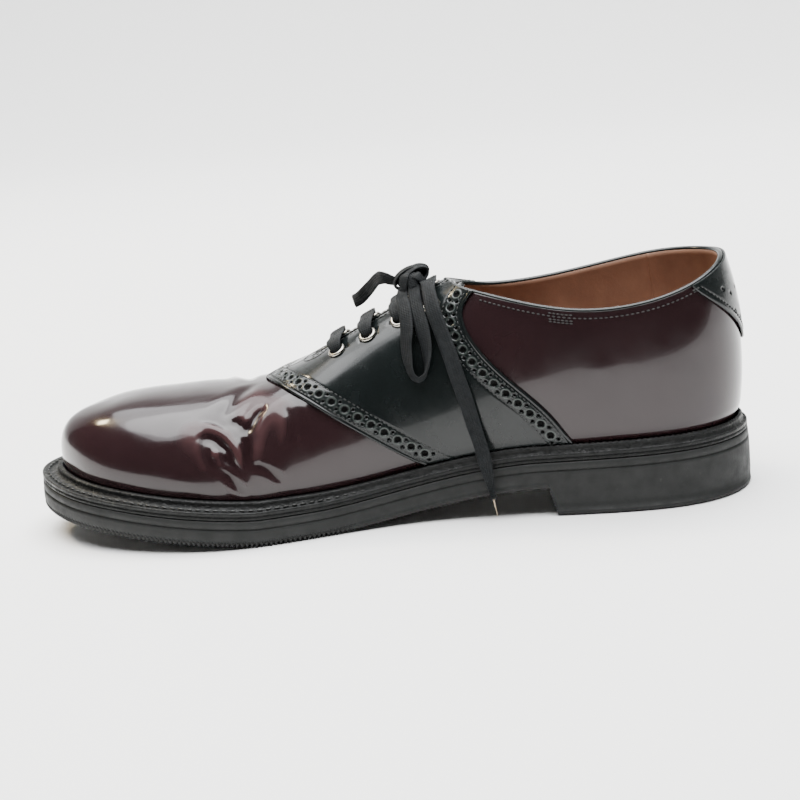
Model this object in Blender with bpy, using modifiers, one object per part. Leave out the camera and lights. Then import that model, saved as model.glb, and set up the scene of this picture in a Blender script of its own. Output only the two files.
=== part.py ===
"""A right saddle shoe: a lace-up leather shoe on a welted rubber sole with a low block heel.

Metres, +Z up. The toe faces -Y and the inner side of the foot faces +X. The origin lies on the floor,
in the middle of the sole.
"""

import math
from functools import lru_cache

import bmesh
import bpy
import numpy as np
from mathutils import Matrix, Vector

# Driving sizes of the moulded sole.
SOLE_LENGTH = 0.305
BALL_WIDTH = 0.116
SOLE_THICKNESS = 0.0110
SOLE_EDGE_ROUND = 0.0012
SOLE_LEDGE_HEIGHT = 0.0036  # the thin ledge along the top of the sole's side
SOLE_LEDGE_SETBACK = 0.0005
HEEL_HEIGHT = 0.0115
HEEL_PITCH = 0.0010  # how much higher the heel seat is at the back than at the breast
HEEL_LENGTH = 0.085
HEEL_BREAST_SLANT = 0.0030
TOE_SPRING = 0.0125
TOE_SPRING_BEND = 1.15
FLAT_FROM = 0.600  # the share of the length where the arch comes down to the floor
FLAT_TO = 0.665  # and the share where the toe spring starts

# Driving sizes of the welt and the insole.
WELT_WIDTH = 0.0095
WELT_THICKNESS = 0.0035
WELT_SETBACK = 0.0006
WELT_UNDER = 0.0045  # how far the welt reaches in under the upper
RIB_HEIGHT = 0.0030
RIB_WIDTH = 0.0022
INSOLE_ABOVE_WELT = 0.0015

# Driving sizes of the upper.
WALL = 0.0020
SADDLE_THICKNESS = 0.0012
HEEL_TAB_THICKNESS = 0.0009
TONGUE_THICKNESS = 0.0020
CREST_HEIGHT = 0.0925  # the instep at the top of the facings, over the floor
BACK_HEIGHT = 0.0975  # the collar at the back, over the floor
FACING_GAP = 0.0036
THROAT_ALONG = 0.585  # the share of the length where the slit between the facings ends

# Driving sizes of the lacing.
EYELET_HOLE_RADIUS = 0.0020
EYELET_TUBE_WALL = 0.0005
EYELET_FLANGE_RADIUS = 0.0038
EYELET_FLANGE_THICKNESS = 0.0007
EYELET_COUNT = 4
EYELET_FIRST_ALONG = 0.551
EYELET_LAST_ALONG = 0.418
EYELET_FROM_MIDDLE = 0.0120
LACE_WIDTH = 0.0062
LACE_THICKNESS = 0.0012
LACE_BAR_LIFT = 0.0008  # the bars clear the flat flanges, which stand off the curved leather at their rims
LACE_BAR_SHARES = (1.0, 0.75, 0.45, 0.2)  # where a bar is bent, as shares of the way out to its eyelet
CORD_RADIUS = 0.0014
CORD_STEP = 0.007
KNOT_PLACE = 2.6  # how far along the row of eyelets the knot sits, counted from the first pair
KNOT_LENGTH = 0.0150
KNOT_WIDTH = 0.0190
KNOT_HEIGHT = 0.0090

# Curved pieces meet with this clearance, and the tongue under the facings with the wider one.
GAP = 0.0003
TONGUE_GAP = 0.0016

# One row for each section of the last, from the back of the heel to the tip of the toe.
# along: the sole edge's place, as a share of the length. inner, outer: the sole edge's distance from the
# long axis on each side, as shares of the ball width. welt: how far the upper stands in from the sole
# edge, as a share of the welt width. crest, crest_side: where the section ends on the crest line, as
# shares of the length and of the ball width. rise: how far up the side wall leaves the welt upright, as a
# share of the section's height. lean: how far that wall swells outwards, as a share of the ball width.
# crown: how far the top stays level, as a share of the half width. topline_inner, topline_outer: the
# collar's height, as shares of its height at the back.
SECTION_COLUMNS = (
    "along", "inner", "outer", "welt", "crest", "crest_side", "rise", "lean", "crown",
    "topline_inner", "topline_outer",
)
SECTIONS = (
    (0.000, 0.000, 0.000, 0.45, 0.150, 0.000, 0.40, 0.085, 0.88, 1.000, 1.000),
    (0.030, 0.190, 0.190, 0.45, 0.158, 0.000, 0.40, 0.080, 0.93, 0.955, 0.995),
    (0.110, 0.300, 0.300, 0.45, 0.190, 0.000, 0.36, 0.062, 1.05, 0.885, 0.972),
    (0.230, 0.312, 0.325, 0.45, 0.255, 0.000, 0.34, 0.045, 1.12, 0.865, 0.912),
    (0.360, 0.290, 0.362, 0.50, 0.335, 0.010, 0.36, 0.035, 1.00, 0.945, 0.900),
    (0.480, 0.300, 0.425, 0.60, 0.430, 0.020, 0.40, 0.040, 0.82, 1.020, 1.030),
    (0.595, 0.385, 0.500, 0.80, 0.535, 0.025, 0.46, 0.045, 0.70, 1.200, 1.200),
    (0.700, 0.455, 0.545, 0.95, 0.640, 0.025, 0.52, 0.045, 0.66, 1.300, 1.300),
    (0.805, 0.440, 0.480, 1.00, 0.735, 0.022, 0.60, 0.040, 0.70, 1.400, 1.400),
    (0.905, 0.348, 0.378, 1.05, 0.820, 0.020, 0.68, 0.035, 0.72, 1.400, 1.400),
    (0.970, 0.202, 0.232, 1.10, 0.865, 0.018, 0.74, 0.030, 0.72, 1.400, 1.400),
    (1.000, 0.000, 0.000, 1.10, 0.885, 0.016, 0.76, 0.028, 0.72, 1.400, 1.400),
)

# The crest line's height at shares of the length, as shares of the instep's height. Behind the facings it
# rises on as the leg of the last would, and the collar is cut below it.
CREST_COLUMNS = ("along", "height")
CREST = (
    (0.150, 1.450),
    (0.190, 1.430),
    (0.255, 1.325),
    (0.335, 1.150),
    (0.410, 1.000),
    (0.467, 0.919),
    (0.513, 0.846),
    (0.551, 0.784),
    (0.590, 0.720),
    (0.626, 0.672),
    (0.665, 0.635),
    (0.726, 0.626),
    (0.800, 0.621),
    (0.854, 0.609),
    (0.885, 0.592),
)

# The saddle's two edges on each side, in sections counted from the back of the heel, at shares of the way
# from the welt's rib up to the top.
SADDLE_COLUMNS = ("up", "back_edge", "front_edge")
SADDLE = (
    (0.00, 3.10, 4.70),
    (0.33, 3.42, 5.60),
    (0.67, 4.05, 6.44),
    (0.85, 4.20, 6.87),
    (1.00, 4.08, 7.22),
)

# The tab at the back of the collar, in sections to each side and in the share of the wall's height.
HEEL_TAB_REACH = 1.5
HEEL_TAB_DROP = 0.55

# The tongue's ends in sections, and how far down each side it reaches, as a share of the way to the welt.
TONGUE_FROM = 4.52
TONGUE_TO = 6.90
TONGUE_REACH = 0.36

# How finely each half of the upper is divided, between the lines that its pieces follow.
HEEL_STEPS = 8
QUARTER_STEPS = 6
COLLAR_STEPS = 4
FACING_STEPS = 6
BAND_STEPS = 4
VAMP_STEPS = 14
UP_STEPS = 10
HEEL_SECTIONS = 1.5
HEEL_TAB_UP_STEPS = 4
HEEL_TAB_BEND = 0.8  # how round the tab's lower edge is drawn: 1 would be straight
TONGUE_STEPS = 12
TONGUE_SIDE_STEPS = 6
SOLE_STEPS = (10, 1, 8, 3, 18)  # between the sole's own corners, from the heel's back to the toe
EYELET_SEGMENTS = 10
KNOT_SEGMENTS = (12, 8)
FACING_SEARCH_FROM = 3.0  # the section behind which no facing starts

# The laces' routes in metres. Each one starts at the knot, and the loops come back to it.
INNER_LOOP_ROUTE = (
    (0.0154, 0.0134, 0.0943),
    (0.0187, 0.0129, 0.0918),
    (0.0240, 0.0140, 0.0880),
    (0.0284, 0.0146, 0.0808),
    (0.0309, 0.0139, 0.0733),
    (0.0337, 0.0146, 0.0652),
    (0.0350, 0.0160, 0.0616),
    (0.0354, 0.0182, 0.0603),
    (0.0353, 0.0204, 0.0616),
    (0.0347, 0.0218, 0.0650),
    (0.0322, 0.0222, 0.0727),
    (0.0283, 0.0206, 0.0822),
    (0.0237, 0.0189, 0.0887),
    (0.0197, 0.0183, 0.0928),
    (0.0163, 0.0181, 0.0957),
)
INNER_END_ROUTE = (
    (0.0136, 0.0218, 0.0970),
    (0.0184, 0.0238, 0.0963),
    (0.0238, 0.0248, 0.0926),
    (0.0282, 0.0261, 0.0869),
    (0.0312, 0.0287, 0.0788),
    (0.0349, 0.0317, 0.0694),
    (0.0369, 0.0339, 0.0609),
    (0.0382, 0.0366, 0.0513),
    (0.0386, 0.0391, 0.0400),
    (0.0393, 0.0410, 0.0325),
    (0.0410, 0.0424, 0.0255),
    (0.0414, 0.0436, 0.0175),
    (0.0414, 0.0447, 0.0095),
)
OUTER_LOOP_ROUTE = (
    (-0.0007, 0.0134, 0.0943),
    (-0.0052, 0.0126, 0.0928),
    (-0.0105, 0.0122, 0.0896),
    (-0.0177, 0.0126, 0.0847),
    (-0.0255, 0.0117, 0.0779),
    (-0.0311, 0.0114, 0.0718),
    (-0.0343, 0.0122, 0.0661),
    (-0.0356, 0.0135, 0.0632),
    (-0.0361, 0.0156, 0.0621),
    (-0.0358, 0.0177, 0.0633),
    (-0.0349, 0.0189, 0.0661),
    (-0.0319, 0.0190, 0.0718),
    (-0.0278, 0.0193, 0.0776),
    (-0.0226, 0.0194, 0.0828),
    (-0.0147, 0.0184, 0.0886),
    (-0.0080, 0.0184, 0.0918),
    (-0.0046, 0.0188, 0.0934),
    (-0.0015, 0.0181, 0.0957),
)
OUTER_END_ROUTE = (
    (0.0074, 0.0083, 0.0971),
    (0.0066, 0.0050, 0.0983),
    (0.0024, 0.0018, 0.0973),
    (-0.0024, -0.0022, 0.0931),
    (-0.0070, -0.0072, 0.0882),
    (-0.0100, -0.0104, 0.0862),
)


def columns(names, rows):
    """The rows of a table as one list for each named column."""
    return dict(zip(names, np.array(rows, float).T))


SECTION = columns(SECTION_COLUMNS, SECTIONS)
CREST_LINE = columns(CREST_COLUMNS, CREST)
SADDLE_EDGES = columns(SADDLE_COLUMNS, SADDLE)
LAST_ROW = len(SECTIONS) - 1
LOOP_ROWS = 2 * LAST_ROW


def smooth_bends(places, values):
    """The second derivatives of the smooth curve through values at unevenly spaced places."""
    gaps = np.diff(places)
    slopes = np.diff(values) / gaps
    size = len(places)
    matrix = np.eye(size)
    right = np.zeros(size)
    for i in range(1, size - 1):
        matrix[i, i - 1 : i + 2] = gaps[i - 1], 2 * (gaps[i - 1] + gaps[i]), gaps[i]
        right[i] = 6 * (slopes[i] - slopes[i - 1])
    return np.linalg.solve(matrix, right)


def smooth_value(places, values, bends, at):
    """The height of that curve at a place."""
    i = int(np.clip(np.searchsorted(places, at) - 1, 0, len(places) - 2))
    gap = places[i + 1] - places[i]
    a = (places[i + 1] - at) / gap
    b = 1 - a
    curve = ((a ** 3 - a) * bends[i] + (b ** 3 - b) * bends[i + 1]) * gap * gap / 6
    return float(a * values[i] + b * values[i + 1] + curve)


CREST_BENDS = smooth_bends(CREST_LINE["along"], CREST_LINE["height"])
SADDLE_BENDS = {
    name: smooth_bends(SADDLE_EDGES["up"], SADDLE_EDGES[name]) for name in ("back_edge", "front_edge")
}


def loop_column(name):
    """A table column carried round the whole shoe: up the inner side and back down the outer one."""
    if name == "side":
        there, back = SECTION["inner"], -SECTION["outer"]
    elif name == "topline":
        there, back = SECTION["topline_inner"], SECTION["topline_outer"]
    else:
        there, back = SECTION[name], SECTION[name]
    values = np.concatenate([there, back[-2:0:-1]])
    size = len(values)
    matrix = 4 * np.eye(size) + np.roll(np.eye(size), 1, 0) + np.roll(np.eye(size), -1, 0)
    bends = np.linalg.solve(matrix, 6 * (np.roll(values, 1) - 2 * values + np.roll(values, -1)))
    return values, bends


LOOPS = {
    name: loop_column(name)
    for name in ("along", "side", "welt", "crest", "crest_side", "rise", "lean", "crown", "topline")
}


@lru_cache(maxsize=None)
def around(name, place):
    """A column's smooth value at a place on the loop, counted in sections from the back of the heel."""
    values, bends = LOOPS[name]
    place = place % LOOP_ROWS
    i = int(place)
    b = place - i
    a = 1 - b
    j = (i + 1) % LOOP_ROWS
    return float(a * values[i] + b * values[j] + ((a ** 3 - a) * bends[i] + (b ** 3 - b) * bends[j]) / 6)


def loop_place(section, outer):
    """The place on the loop of a section, counted from the back of the heel, on either side."""
    return LOOP_ROWS - section if outer else section


def sole_seat(along):
    """The height of the sole's underside, as if it had no heel, at a distance from the heel's back."""
    share = along / SOLE_LENGTH
    breast = HEEL_LENGTH / SOLE_LENGTH
    if share <= breast:
        return HEEL_HEIGHT + HEEL_PITCH * (1 - share / breast)
    if share < FLAT_FROM:
        fall = (FLAT_FROM - share) / (FLAT_FROM - breast)
        return HEEL_HEIGHT * fall * fall * (3 - 2 * fall)
    if share <= FLAT_TO:
        return 0.0
    return TOE_SPRING * ((share - FLAT_TO) / (1 - FLAT_TO)) ** TOE_SPRING_BEND


def sole_top(along):
    return sole_seat(along) + SOLE_THICKNESS


def welt_top(along):
    return sole_top(along) + GAP + WELT_THICKNESS


@lru_cache(maxsize=None)
def edge_frame(place):
    """The sole edge as (along, side), and the level direction that points into the shoe from there."""
    step = 0.02
    along = around("along", place) * SOLE_LENGTH
    side = around("side", place) * BALL_WIDTH
    forward = (around("along", place + step) - around("along", place - step)) * SOLE_LENGTH
    inward = (around("side", place + step) - around("side", place - step)) * BALL_WIDTH
    size = math.hypot(forward, inward)
    return Vector((along, side)), Vector((inward / size, -forward / size))


def sole_edge(place, inset=0.0):
    """The sole's outline, moved inwards, as (along, side)."""
    edge, inwards = edge_frame(place)
    return edge + inwards * inset


def feather_inset(place):
    return around("welt", place) * WELT_WIDTH


@lru_cache(maxsize=None)
def feather(place):
    """The foot of the upper, where it meets the welt, as (along, side, height)."""
    edge = sole_edge(place, feather_inset(place))
    return Vector((edge.x, edge.y, welt_top(edge.x) + GAP))


def crest_height(along):
    """The height of the crest line at a distance from the back of the heel."""
    return CREST_HEIGHT * smooth_value(
        CREST_LINE["along"], CREST_LINE["height"], CREST_BENDS, along / SOLE_LENGTH
    )


@lru_cache(maxsize=None)
def section_handles(place):
    """The four handles of the curve that a section of the last follows, from the welt to the crest."""
    foot = feather(place)
    along = around("crest", place) * SOLE_LENGTH
    top = Vector((along, around("crest_side", place) * BALL_WIDTH, crest_height(along)))
    step = 0.002
    slope = (crest_height(along + step) - crest_height(along - step)) / (2 * step)
    lean = -edge_frame(place)[1] * around("lean", place) * BALL_WIDTH
    wall = foot + Vector((lean.x, lean.y, around("rise", place) * (top.z - foot.z)))
    reach = (foot - top) * around("crown", place)
    shoulder = top + Vector((reach.x, reach.y, slope * reach.x))
    return foot, wall, shoulder, top


def last_point(place, up):
    """The last's surface: place runs round the shoe, and up from 0 at the welt to 1 on the crest line."""
    foot, wall, shoulder, top = section_handles(place)
    a = 1 - up
    return a ** 3 * foot + 3 * a * a * up * wall + 3 * a * up * up * shoulder + up ** 3 * top


def surface_normal(place, up):
    """The direction out of the last's surface."""
    step = 0.004
    low = min(max(up, step), 1 - step)
    forwards = last_point(place + step, low) - last_point(place - step, low)
    upwards = last_point(place, low + step) - last_point(place, low - step)
    return upwards.cross(forwards).normalized()


def offset_point(place, up, distance):
    """A point at a distance outside the last's surface, or inside it where that is negative."""
    return last_point(place, up) + surface_normal(place, up) * distance


def share_where(place, reached):
    """The lowest share of the way up at which reached says yes, or 1."""
    if not reached(last_point(place, 1.0)):
        return 1.0
    low, high = 0.0, 1.0
    for _ in range(22):
        middle = (low + high) / 2
        if reached(last_point(place, middle)):
            high = middle
        else:
            low = middle
    return high


def crest_middle(place):
    return around("crest_side", place) * BALL_WIDTH


@lru_cache(maxsize=None)
def collar_share(place):
    """How far up the collar is cut."""
    collar = around("topline", place) * BACK_HEIGHT
    return share_where(place, lambda point: point.z >= collar)


@lru_cache(maxsize=None)
def slit_share(place, half):
    """How far up a section comes to within half a gap of the crest line, if it starts further out."""
    middle = crest_middle(place)
    if abs(feather(place).y - middle) <= half:
        return 1.0
    return share_where(place, lambda point: abs(point.y - middle) <= half)


@lru_cache(maxsize=None)
def rib_share(place):
    """How far up the top of the welt's rib comes."""
    height = feather(place).z + RIB_HEIGHT
    return share_where(place, lambda point: point.z >= height)


def bisect(low, high, is_below):
    """The number between low and high up to which is_below says yes."""
    for _ in range(40):
        middle = (low + high) / 2
        if is_below(middle):
            low = middle
        else:
            high = middle
    return low


THROAT_SECTION = bisect(0.0, float(LAST_ROW), lambda section: around("crest", section) < THROAT_ALONG)


def upper_top(place):
    """How far up the upper goes at a place: to its collar, to the slit, or to the crest line."""
    section = min(place, LOOP_ROWS - place)
    if section > THROAT_SECTION + 1e-6:
        return collar_share(place)
    return min(collar_share(place), slit_share(place, FACING_GAP / 2))


def facing_corner(outer):
    """The section where the collar meets the slit, at the top of the facing."""

    def collar_is_lower(section):
        place = loop_place(section, outer)
        return collar_share(place) < slit_share(place, FACING_GAP / 2)

    return bisect(FACING_SEARCH_FROM, THROAT_SECTION, collar_is_lower)


CORNERS = {outer: facing_corner(outer) for outer in (False, True)}


def wall_share(place, up):
    """The share of the way up the last, for a share of the way from the welt's rib to the upper's top."""
    low = rib_share(place)
    return low + up * (upper_top(place) - low)


def saddle_edge(name, up):
    return smooth_value(SADDLE_EDGES["up"], SADDLE_EDGES[name], SADDLE_BENDS[name], up)


def saddle_section(outer, up, mark):
    """A section on the saddle at a height: mark 0 is its back edge, 1 the facing's corner, 2 the throat's
    end and 3 its front edge."""
    top_back = saddle_edge("back_edge", 1.0)
    top_front = saddle_edge("front_edge", 1.0)
    marks = [top_back, CORNERS[outer], THROAT_SECTION, top_front]
    i = min(int(mark), 2)
    at_top = marks[i] + (marks[i + 1] - marks[i]) * (mark - i)
    share = (at_top - top_back) / (top_front - top_back)
    back = saddle_edge("back_edge", up)
    return back + share * (saddle_edge("front_edge", up) - back)


def steps_between(start, end, steps):
    """Evenly spaced numbers from start up to but without end."""
    return [start + (end - start) * i / steps for i in range(steps)]


def saddle_marks():
    """The lines from the saddle's back edge to its front edge that its mesh and the upper's follow."""
    return (
        steps_between(0.0, 1.0, COLLAR_STEPS)
        + steps_between(1.0, 2.0, FACING_STEPS)
        + steps_between(2.0, 3.0, BAND_STEPS)
        + [3.0]
    )


def upper_sections(outer, up):
    """The sections that the upper's mesh follows at a height, from the heel's back to the toe."""
    back = saddle_edge("back_edge", up)
    front = saddle_edge("front_edge", up)
    return (
        steps_between(0.0, HEEL_SECTIONS, HEEL_STEPS)
        + steps_between(HEEL_SECTIONS, back, QUARTER_STEPS)
        + [saddle_section(outer, up, mark) for mark in saddle_marks()[:-1]]
        + steps_between(front, float(LAST_ROW), VAMP_STEPS)
        + [float(LAST_ROW)]
    )


def to_part(point):
    """A point given as along, side and height, in the part's own frame."""
    return Vector((point[1] - MIDDLE_SIDE, MIDDLE_ALONG - point[0], point[2]))


def turn_to_part(direction):
    """A direction given as along, side and height, in the part's own frame."""
    return Vector((direction[1], -direction[0], direction[2]))


def outline_middle():
    """The middle of the sole's outline, along and across."""
    count = 400
    edges = [sole_edge(i * LOOP_ROWS / count) for i in range(count)]
    return [(min(values) + max(values)) / 2 for values in zip(*edges)]


MIDDLE_ALONG, MIDDLE_SIDE = outline_middle()


def clear_scene():
    for obj in list(bpy.data.objects):
        bpy.data.objects.remove(obj, do_unlink=True)


def make_collection(name):
    collection = bpy.data.collections.new(name)
    bpy.context.scene.collection.children.link(collection)
    return collection


def material(name, colour, roughness, metallic=0.0):
    made = bpy.data.materials.new(name)
    made.use_nodes = True
    shader = made.node_tree.nodes["Principled BSDF"]
    shader.inputs["Base Color"].default_value = (*colour, 1.0)
    shader.inputs["Roughness"].default_value = roughness
    shader.inputs["Metallic"].default_value = metallic
    return made


def add_object(name, data, collection, finish):
    obj = bpy.data.objects.new(name, data)
    collection.objects.link(obj)
    data.materials.append(finish)
    return obj


def loft(name, rings, close_rings=False, close_points=False, halved=False):
    """A mesh whose rings of points are joined one to the next. Points that coincide become one. Halved
    faces keep layers of curved leather an even gap apart, as they are all split the same way."""
    bm = bmesh.new()
    made = [[bm.verts.new(to_part(point)) for point in ring] for ring in rings]
    ring_count = len(made)
    point_count = len(made[0])
    for i in range(ring_count if close_rings else ring_count - 1):
        for j in range(point_count if close_points else point_count - 1):
            first, second = made[i], made[(i + 1) % ring_count]
            k = (j + 1) % point_count
            if halved:
                bm.faces.new((first[j], first[k], second[k]))
                bm.faces.new((first[j], second[k], second[j]))
            else:
                bm.faces.new((first[j], first[k], second[k], second[j]))
    return finished_mesh(name, bm)


def finished_mesh(name, bm):
    """The mesh of bm, with the points that coincide made one and its faces turned the same way."""
    bmesh.ops.remove_doubles(bm, verts=bm.verts, dist=0.00003)
    bmesh.ops.dissolve_degenerate(bm, dist=0.00001, edges=bm.edges)
    bmesh.ops.recalc_face_normals(bm, faces=bm.faces)
    mesh = bpy.data.meshes.new(name)
    bm.to_mesh(mesh)
    bm.free()
    mesh.shade_smooth()
    return mesh


def joined_mesh(name, meshes):
    """One open surface of several, facing up and out of the shoe, with their shared points made one."""
    bm = bmesh.new()
    for mesh in meshes:
        bm.from_mesh(mesh)
        bpy.data.meshes.remove(mesh)
    mesh = finished_mesh(name, bm)
    if sum(face.normal.z * face.area for face in mesh.polygons) < 0:
        mesh.flip_normals()
    return mesh


def thicken(obj, thickness, offset):
    """Gives an open surface its wall: offset 1 adds it outside and -1 inside."""
    solid = obj.modifiers.new("wall", "SOLIDIFY")
    solid.thickness = thickness
    solid.offset = offset
    solid.use_even_offset = True
    solid.use_quality_normals = True


def upper_rings(outer):
    """Half of the upper as rows of points, from the welt up to the collar, the slit or the crest line."""
    rows = [0.0] + [i / UP_STEPS for i in range(UP_STEPS + 1)]
    rings = []
    for i, up in enumerate(rows):
        places = [loop_place(section, outer) for section in upper_sections(outer, up)]
        if i == 0:
            rings.append([last_point(place, 0.0) for place in places])
        else:
            rings.append([last_point(place, wall_share(place, up)) for place in places])
    return rings


def make_upper(collection, finish):
    halves = [loft("half", upper_rings(outer), halved=True) for outer in (False, True)]
    obj = add_object("upper", joined_mesh("upper", halves), collection, finish)
    thicken(obj, WALL, -1)
    return obj


def saddle_rings(outer):
    """Half of the saddle's underside, just off the upper, as rows of points."""
    rings = []
    for i in range(UP_STEPS + 1):
        up = i / UP_STEPS
        places = [loop_place(saddle_section(outer, up, mark), outer) for mark in saddle_marks()]
        rings.append([offset_point(place, wall_share(place, up), GAP) for place in places])
    return rings


def make_saddle(collection, finish):
    halves = [loft("half", saddle_rings(outer), halved=True) for outer in (False, True)]
    obj = add_object("saddle", joined_mesh("saddle", halves), collection, finish)
    thicken(obj, SADDLE_THICKNESS, 1)
    return obj


def make_heel_tab(collection, finish):
    step = HEEL_SECTIONS / HEEL_STEPS
    count = round(HEEL_TAB_REACH / step)
    rings = []
    for i in range(-count, count + 1):
        place = i * step % LOOP_ROWS
        drop = HEEL_TAB_DROP * (1 - abs(i) / count) ** HEEL_TAB_BEND / HEEL_TAB_UP_STEPS
        shares = [wall_share(place, 1 - drop * j) for j in range(HEEL_TAB_UP_STEPS + 1)]
        rings.append([offset_point(place, share, GAP) for share in shares])
    obj = add_object("heel_tab", joined_mesh("heel_tab", [loft("tab", rings)]), collection, finish)
    thicken(obj, HEEL_TAB_THICKNESS, 1)
    return obj


def tongue_rings(outer):
    """Half of the tongue's upper side, just under the facings, as rows of points down from the crest."""
    rings = []
    for section in steps_between(TONGUE_FROM, TONGUE_TO, TONGUE_STEPS) + [TONGUE_TO]:
        place = loop_place(section, outer)
        shares = [1 - TONGUE_REACH * j / TONGUE_SIDE_STEPS for j in range(TONGUE_SIDE_STEPS + 1)]
        rings.append([offset_point(place, share, -WALL - TONGUE_GAP) for share in shares])
    for ring in rings:
        ring[0].y = crest_middle(TONGUE_FROM)
    return rings


def make_tongue(collection, finish):
    halves = [loft("half", tongue_rings(outer)) for outer in (False, True)]
    obj = add_object("tongue", joined_mesh("tongue", halves), collection, finish)
    thicken(obj, TONGUE_THICKNESS, -1)
    return obj


def section_at(share):
    """The section whose sole edge lies at a share of the length."""
    return bisect(0.0, float(LAST_ROW), lambda section: around("along", section) < share)


def sole_sections():
    """The sections that the layers of the sole follow, with one at each of the sole's corners."""
    corners = [
        0.0,
        section_at((HEEL_LENGTH - HEEL_BREAST_SLANT) / SOLE_LENGTH),
        section_at(HEEL_LENGTH / SOLE_LENGTH),
        section_at(FLAT_FROM),
        section_at(FLAT_TO),
        float(LAST_ROW),
    ]
    sections = []
    for start, end, steps in zip(corners, corners[1:], SOLE_STEPS):
        sections += steps_between(start, end, steps)
    return sections + [corners[-1]]


def sole_layer(name, profile, collection, finish):
    """A layer of the sole's outline. profile gives (inset, height) pairs for a place, from the bottom up."""
    rings = []
    for section in sole_sections():
        ring = []
        for outer in (False, True):
            place = loop_place(section, outer)
            side = []
            for inset, height in profile(place, section):
                edge = sole_edge(place, inset)
                side.append((edge.x, edge.y, height(edge.x)))
            ring += reversed(side) if outer else side
        rings.append(ring)
    return add_object(name, loft(name, rings, close_points=True), collection, finish)


def make_outsole(collection, finish):
    heel_end = section_at((HEEL_LENGTH - HEEL_BREAST_SLANT / 2) / SOLE_LENGTH)

    def bottom(along, section):
        return 0.0 if section < heel_end else sole_seat(along)

    def profile(place, section):
        return (
            (SOLE_EDGE_ROUND, lambda along: bottom(along, section)),
            (0.0, lambda along: bottom(along, section) + SOLE_EDGE_ROUND),
            (0.0, lambda along: sole_top(along) - SOLE_LEDGE_HEIGHT),
            (SOLE_LEDGE_SETBACK, lambda along: sole_top(along) - SOLE_LEDGE_HEIGHT),
            (SOLE_LEDGE_SETBACK, sole_top),
        )

    return sole_layer("outsole", profile, collection, finish)


def welt_inner(place):
    """How far in from the sole's edge the welt's inner edge lies."""
    return feather_inset(place) + WELT_UNDER


def make_insole(collection, finish):
    def profile(place, section):
        inset = welt_inner(place) + 2 * GAP
        return (
            (inset, lambda along: sole_top(along) + GAP),
            (inset, lambda along: welt_top(along) + INSOLE_ABOVE_WELT),
        )

    return sole_layer("insole", profile, collection, finish)


def wall_inset(place, share):
    """How far in from the sole's edge the upper's outside lies, at a share of the way up."""
    edge, inwards = edge_frame(place)
    point = last_point(place, share)
    return (Vector((point.x, point.y)) - edge).dot(inwards)


def make_welt(collection, finish):
    """The welt is a flat strip round the upper's foot, with a rib that stands against the upper."""
    inner, outer = upper_sections(False, 0.0), upper_sections(True, 0.0)
    places = inner + [loop_place(section, True) for section in outer[-2:0:-1]]
    rings = []
    for place in places:
        foot_inset = wall_inset(place, 0.0) - GAP
        rib_inset = wall_inset(place, rib_share(place)) - GAP
        profile = (
            (WELT_SETBACK, 0.0),
            (WELT_SETBACK, WELT_THICKNESS),
            (rib_inset - RIB_WIDTH, WELT_THICKNESS),
            (rib_inset - RIB_WIDTH, WELT_THICKNESS + RIB_HEIGHT),
            (rib_inset, WELT_THICKNESS + RIB_HEIGHT),
            (foot_inset, WELT_THICKNESS),
            (welt_inner(place), WELT_THICKNESS),
            (welt_inner(place), 0.0),
        )
        ring = []
        for inset, height in profile:
            edge = sole_edge(place, inset)
            ring.append((edge.x, edge.y, sole_top(edge.x) + GAP + height))
        rings.append(ring)
    mesh = loft("welt", rings, close_rings=True, close_points=True)
    return add_object("welt", mesh, collection, finish)


def eyelet_place(number, outer, from_middle):
    """The place on the loop and the share of the way up of a point beside the slit, level with an eyelet."""
    first, last = EYELET_FIRST_ALONG, EYELET_LAST_ALONG
    along = (first + (last - first) * number / (EYELET_COUNT - 1)) * SOLE_LENGTH

    def is_behind(section):
        place = loop_place(section, outer)
        return last_point(place, slit_share(place, from_middle)).x < along

    place = loop_place(bisect(FACING_SEARCH_FROM, THROAT_SECTION, is_behind), outer)
    return place, slit_share(place, from_middle)


def frame_at(place, up, distance):
    """A matrix whose origin lies off the last's surface and whose Z axis points straight out of it."""
    out = turn_to_part(surface_normal(place, up))
    forward = Vector((0.0, -1.0, 0.0))
    forward = (forward - out * forward.dot(out)).normalized()
    side = forward.cross(out)
    matrix = Matrix((side, forward, out)).transposed().to_4x4()
    matrix.translation = to_part(offset_point(place, up, distance))
    return matrix


def eyelet_frames():
    """The frame of each eyelet, on the upper's own surface."""
    frames = {}
    for outer in (False, True):
        for number in range(EYELET_COUNT):
            place, up = eyelet_place(number, outer, EYELET_FROM_MIDDLE)
            frames[number, outer] = frame_at(place, up, 0.0)
    return frames


EYELET_TUBE_RADIUS = EYELET_HOLE_RADIUS + EYELET_TUBE_WALL
SADDLE_TOP = GAP + SADDLE_THICKNESS
EYELET_TOP = SADDLE_TOP + GAP + EYELET_FLANGE_THICKNESS
LACE_BAR_FOOT = EYELET_TOP + LACE_BAR_LIFT


def cut_eyelet_holes(obj, frames, cutters):
    """Cuts the holes that the eyelets sit in, through one of the leather pieces."""
    radius = EYELET_TUBE_RADIUS + GAP
    bm = bmesh.new()
    for matrix in frames.values():
        bmesh.ops.create_cone(
            bm, cap_ends=True, segments=EYELET_SEGMENTS, radius1=radius, radius2=radius, depth=4 * WALL,
            matrix=matrix,
        )
    mesh = bpy.data.meshes.new(obj.name + "_holes")
    bm.to_mesh(mesh)
    bm.free()
    cutter = bpy.data.objects.new(obj.name + "_holes", mesh)
    cutters.objects.link(cutter)
    cutter.hide_render = True
    cutter.display_type = "WIRE"
    cut = obj.modifiers.new("eyelet holes", "BOOLEAN")
    cut.operation = "DIFFERENCE"
    cut.object = cutter


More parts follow.
